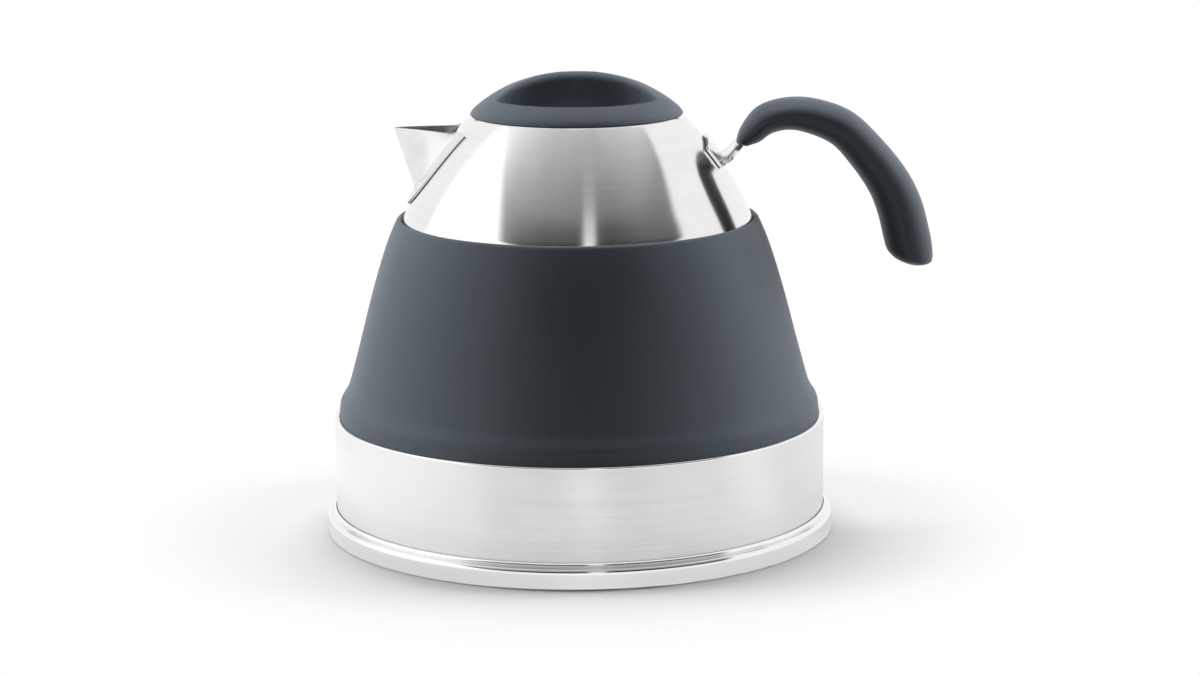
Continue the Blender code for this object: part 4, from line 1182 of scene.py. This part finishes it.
def canopy_row(level, left, left_in, left_near, dark_left, strip, dark_right, right_near, right_in, right):
    """Dark over the camera's side, with a bright strip along the Y axis, fading to white at its edges."""
    narrow = math.cos(math.radians(level))

    def strip_azimuth(aside):
        share = (STRIP_OFFSET + aside) / narrow
        return math.degrees(math.asin(max(min(share, STRIP_LIMIT), -STRIP_LIMIT)))

    start = (strip_azimuth(-STRIP_HALF - STRIP_EDGE), dark_left)
    end = (strip_azimuth(STRIP_HALF + STRIP_EDGE), dark_right)
    left_nodes = [(left[0] - EDGE_BLEND, 1.0), left, left_in, left_near, start]
    right_nodes = [end, right_near, right_in, right, (right[0] + EDGE_BLEND, 1.0)]
    row = subdivided(left_nodes)
    row += [(strip_azimuth(-STRIP_HALF), strip), (strip_azimuth(STRIP_HALF), strip)]
    row += subdivided(right_nodes)
    return [(azimuth, level, value) for azimuth, value in row]


def plain_rows(azimuths, levels, strengths):
    """Rows of one strength each, between two azimuths."""
    places = [lerp(*azimuths, i / CARD_COLUMNS) for i in range(CARD_COLUMNS + 1)]
    return [[(place, level, strength) for place in places] for level, strength in zip(levels, strengths)]


# The light that the band takes from the floor, by azimuth
FLOOR_CARD = (
    (-180, 1.12),
    (-120, 1.20),
    (-82, 1.24),
    (-70, 1.18),
    (-58, 1.11),
    (-48, 1.00),
    (-36, 0.97),
    (-26, 0.97),
    (-9, 1.01),
    (0, 1.23),
    (10, 1.09),
    (16, 1.01),
    (54, 0.99),
    (62, 1.12),
    (67, 1.17),
    (74, 1.02),
    (84, 0.90),
    (180, 0.95),
)
FLOOR_CARD_LIFT = 0.5 * MM
# Rings of that card: radius, share of the light's changes round it, and a factor that darkens it, low near
# the object: a painted shadow of the object on the floor
FLOOR_CARD_RINGS = (
    (0.0932, 0.4, 0.74),
    (0.116, 0.4, 0.78),
    (0.127, 1.0, 1.02),
    (0.20, 1.0, 1.0),
    (0.28, 1.0, 1.0),
    (0.36, 0.0, 1.0),
)


def floor_card():
    """A card that lies on the floor, so that the upright steel has something to reflect, darkened near the
    object as a painted shadow.
    """
    rows = []
    for reach, share, shadow_dimming in FLOOR_CARD_RINGS:
        level = -math.degrees(math.atan2(CARD_CENTRE - FLOOR_CARD_LIFT, reach))
        radius = math.hypot(CARD_CENTRE - FLOOR_CARD_LIFT, reach)
        row = []
        for azimuth, value in subdivided(FLOOR_CARD):
            # The ring's factor paints the object's shadow into the floor that the steel reflects.
            row.append((azimuth, level, shadow_dimming * lerp(1.0, value, share), radius))
        rows.append(row)
    card("floor_card", rows)


def lamp(name, place, size, power):
    """A soft lamp that points at the object and shows in no reflection."""
    light = bpy.data.lights.new(name, "AREA")
    light.shape = "RECTANGLE"
    light.size, light.size_y = size
    light.energy = power
    obj = bpy.data.objects.new(name, light)
    bpy.context.scene.collection.objects.link(obj)
    obj.location = place
    aim = Vector((0.0, 0.0, CARD_CENTRE)) - Vector(place)
    obj.rotation_euler = aim.to_track_quat("-Z", "Y").to_euler()
    obj.visible_glossy = False


def make_world():
    world = bpy.data.worlds.new("studio")
    bpy.context.scene.world = world
    world.use_nodes = True
    tree = world.node_tree
    back = tree.nodes["Background"]
    back.inputs["Color"].default_value = (1.0, 1.0, 1.0, 1.0)
    level = tree.nodes.new("ShaderNodeMapRange")
    level.inputs["To Min"].default_value = WORLD_LEVEL
    tree.links.new(seen_rays(tree), level.inputs["Value"])
    tree.links.new(level.outputs["Result"], back.inputs["Strength"])


# The camera, fitted to the photograph's outlines: a long lens, 11.6 degrees above the horizon
SENSOR_WIDTH = 36.0
FRAME_WIDTH = 1200.0
FOCAL_PIXELS = 3173.9
CAMERA_PLACE = (0.0, -1.1372, 0.3022)
CAMERA_ANGLES = (11.571, 0.393, -0.431)


def make_camera():
    pitch, yaw, roll = (math.radians(angle) for angle in CAMERA_ANGLES)
    level = math.cos(pitch)
    forward = Vector((math.sin(yaw) * level, math.cos(yaw) * level, -math.sin(pitch)))
    side = Vector((math.cos(yaw), -math.sin(yaw), 0.0))
    top = side.cross(forward)
    right = math.cos(roll) * side + math.sin(roll) * top
    up = math.cos(roll) * top - math.sin(roll) * side
    data = bpy.data.cameras.new("camera")
    data.sensor_width = SENSOR_WIDTH
    data.lens = SENSOR_WIDTH * FOCAL_PIXELS / FRAME_WIDTH
    obj = bpy.data.objects.new("camera", data)
    bpy.context.scene.collection.objects.link(obj)
    matrix = Matrix((right, up, -forward)).transposed().to_4x4()
    matrix.translation = Vector(CAMERA_PLACE)
    obj.matrix_world = matrix
    bpy.context.scene.camera = obj


make_floor()
make_world()
card("canopy", [canopy_row(*row) for row in CANOPY])
card("left_softbox", plain_rows(*SOFTBOX), SOFTBOX_RADIUS)
card("back_card", plain_rows(*BACK_CARD))
floor_card()
lamp("left_lamp", (-1.35, 0.15, 0.50), (0.7, 0.9), 24.0)
lamp("right_lamp", (1.35, 0.20, 0.50), (0.7, 0.9), 22.5)
lamp("top_lamp", (0.0, 0.42, 1.30), (0.9, 0.7), 16.0)
make_camera()

bpy.context.scene.view_settings.view_transform = "Standard"
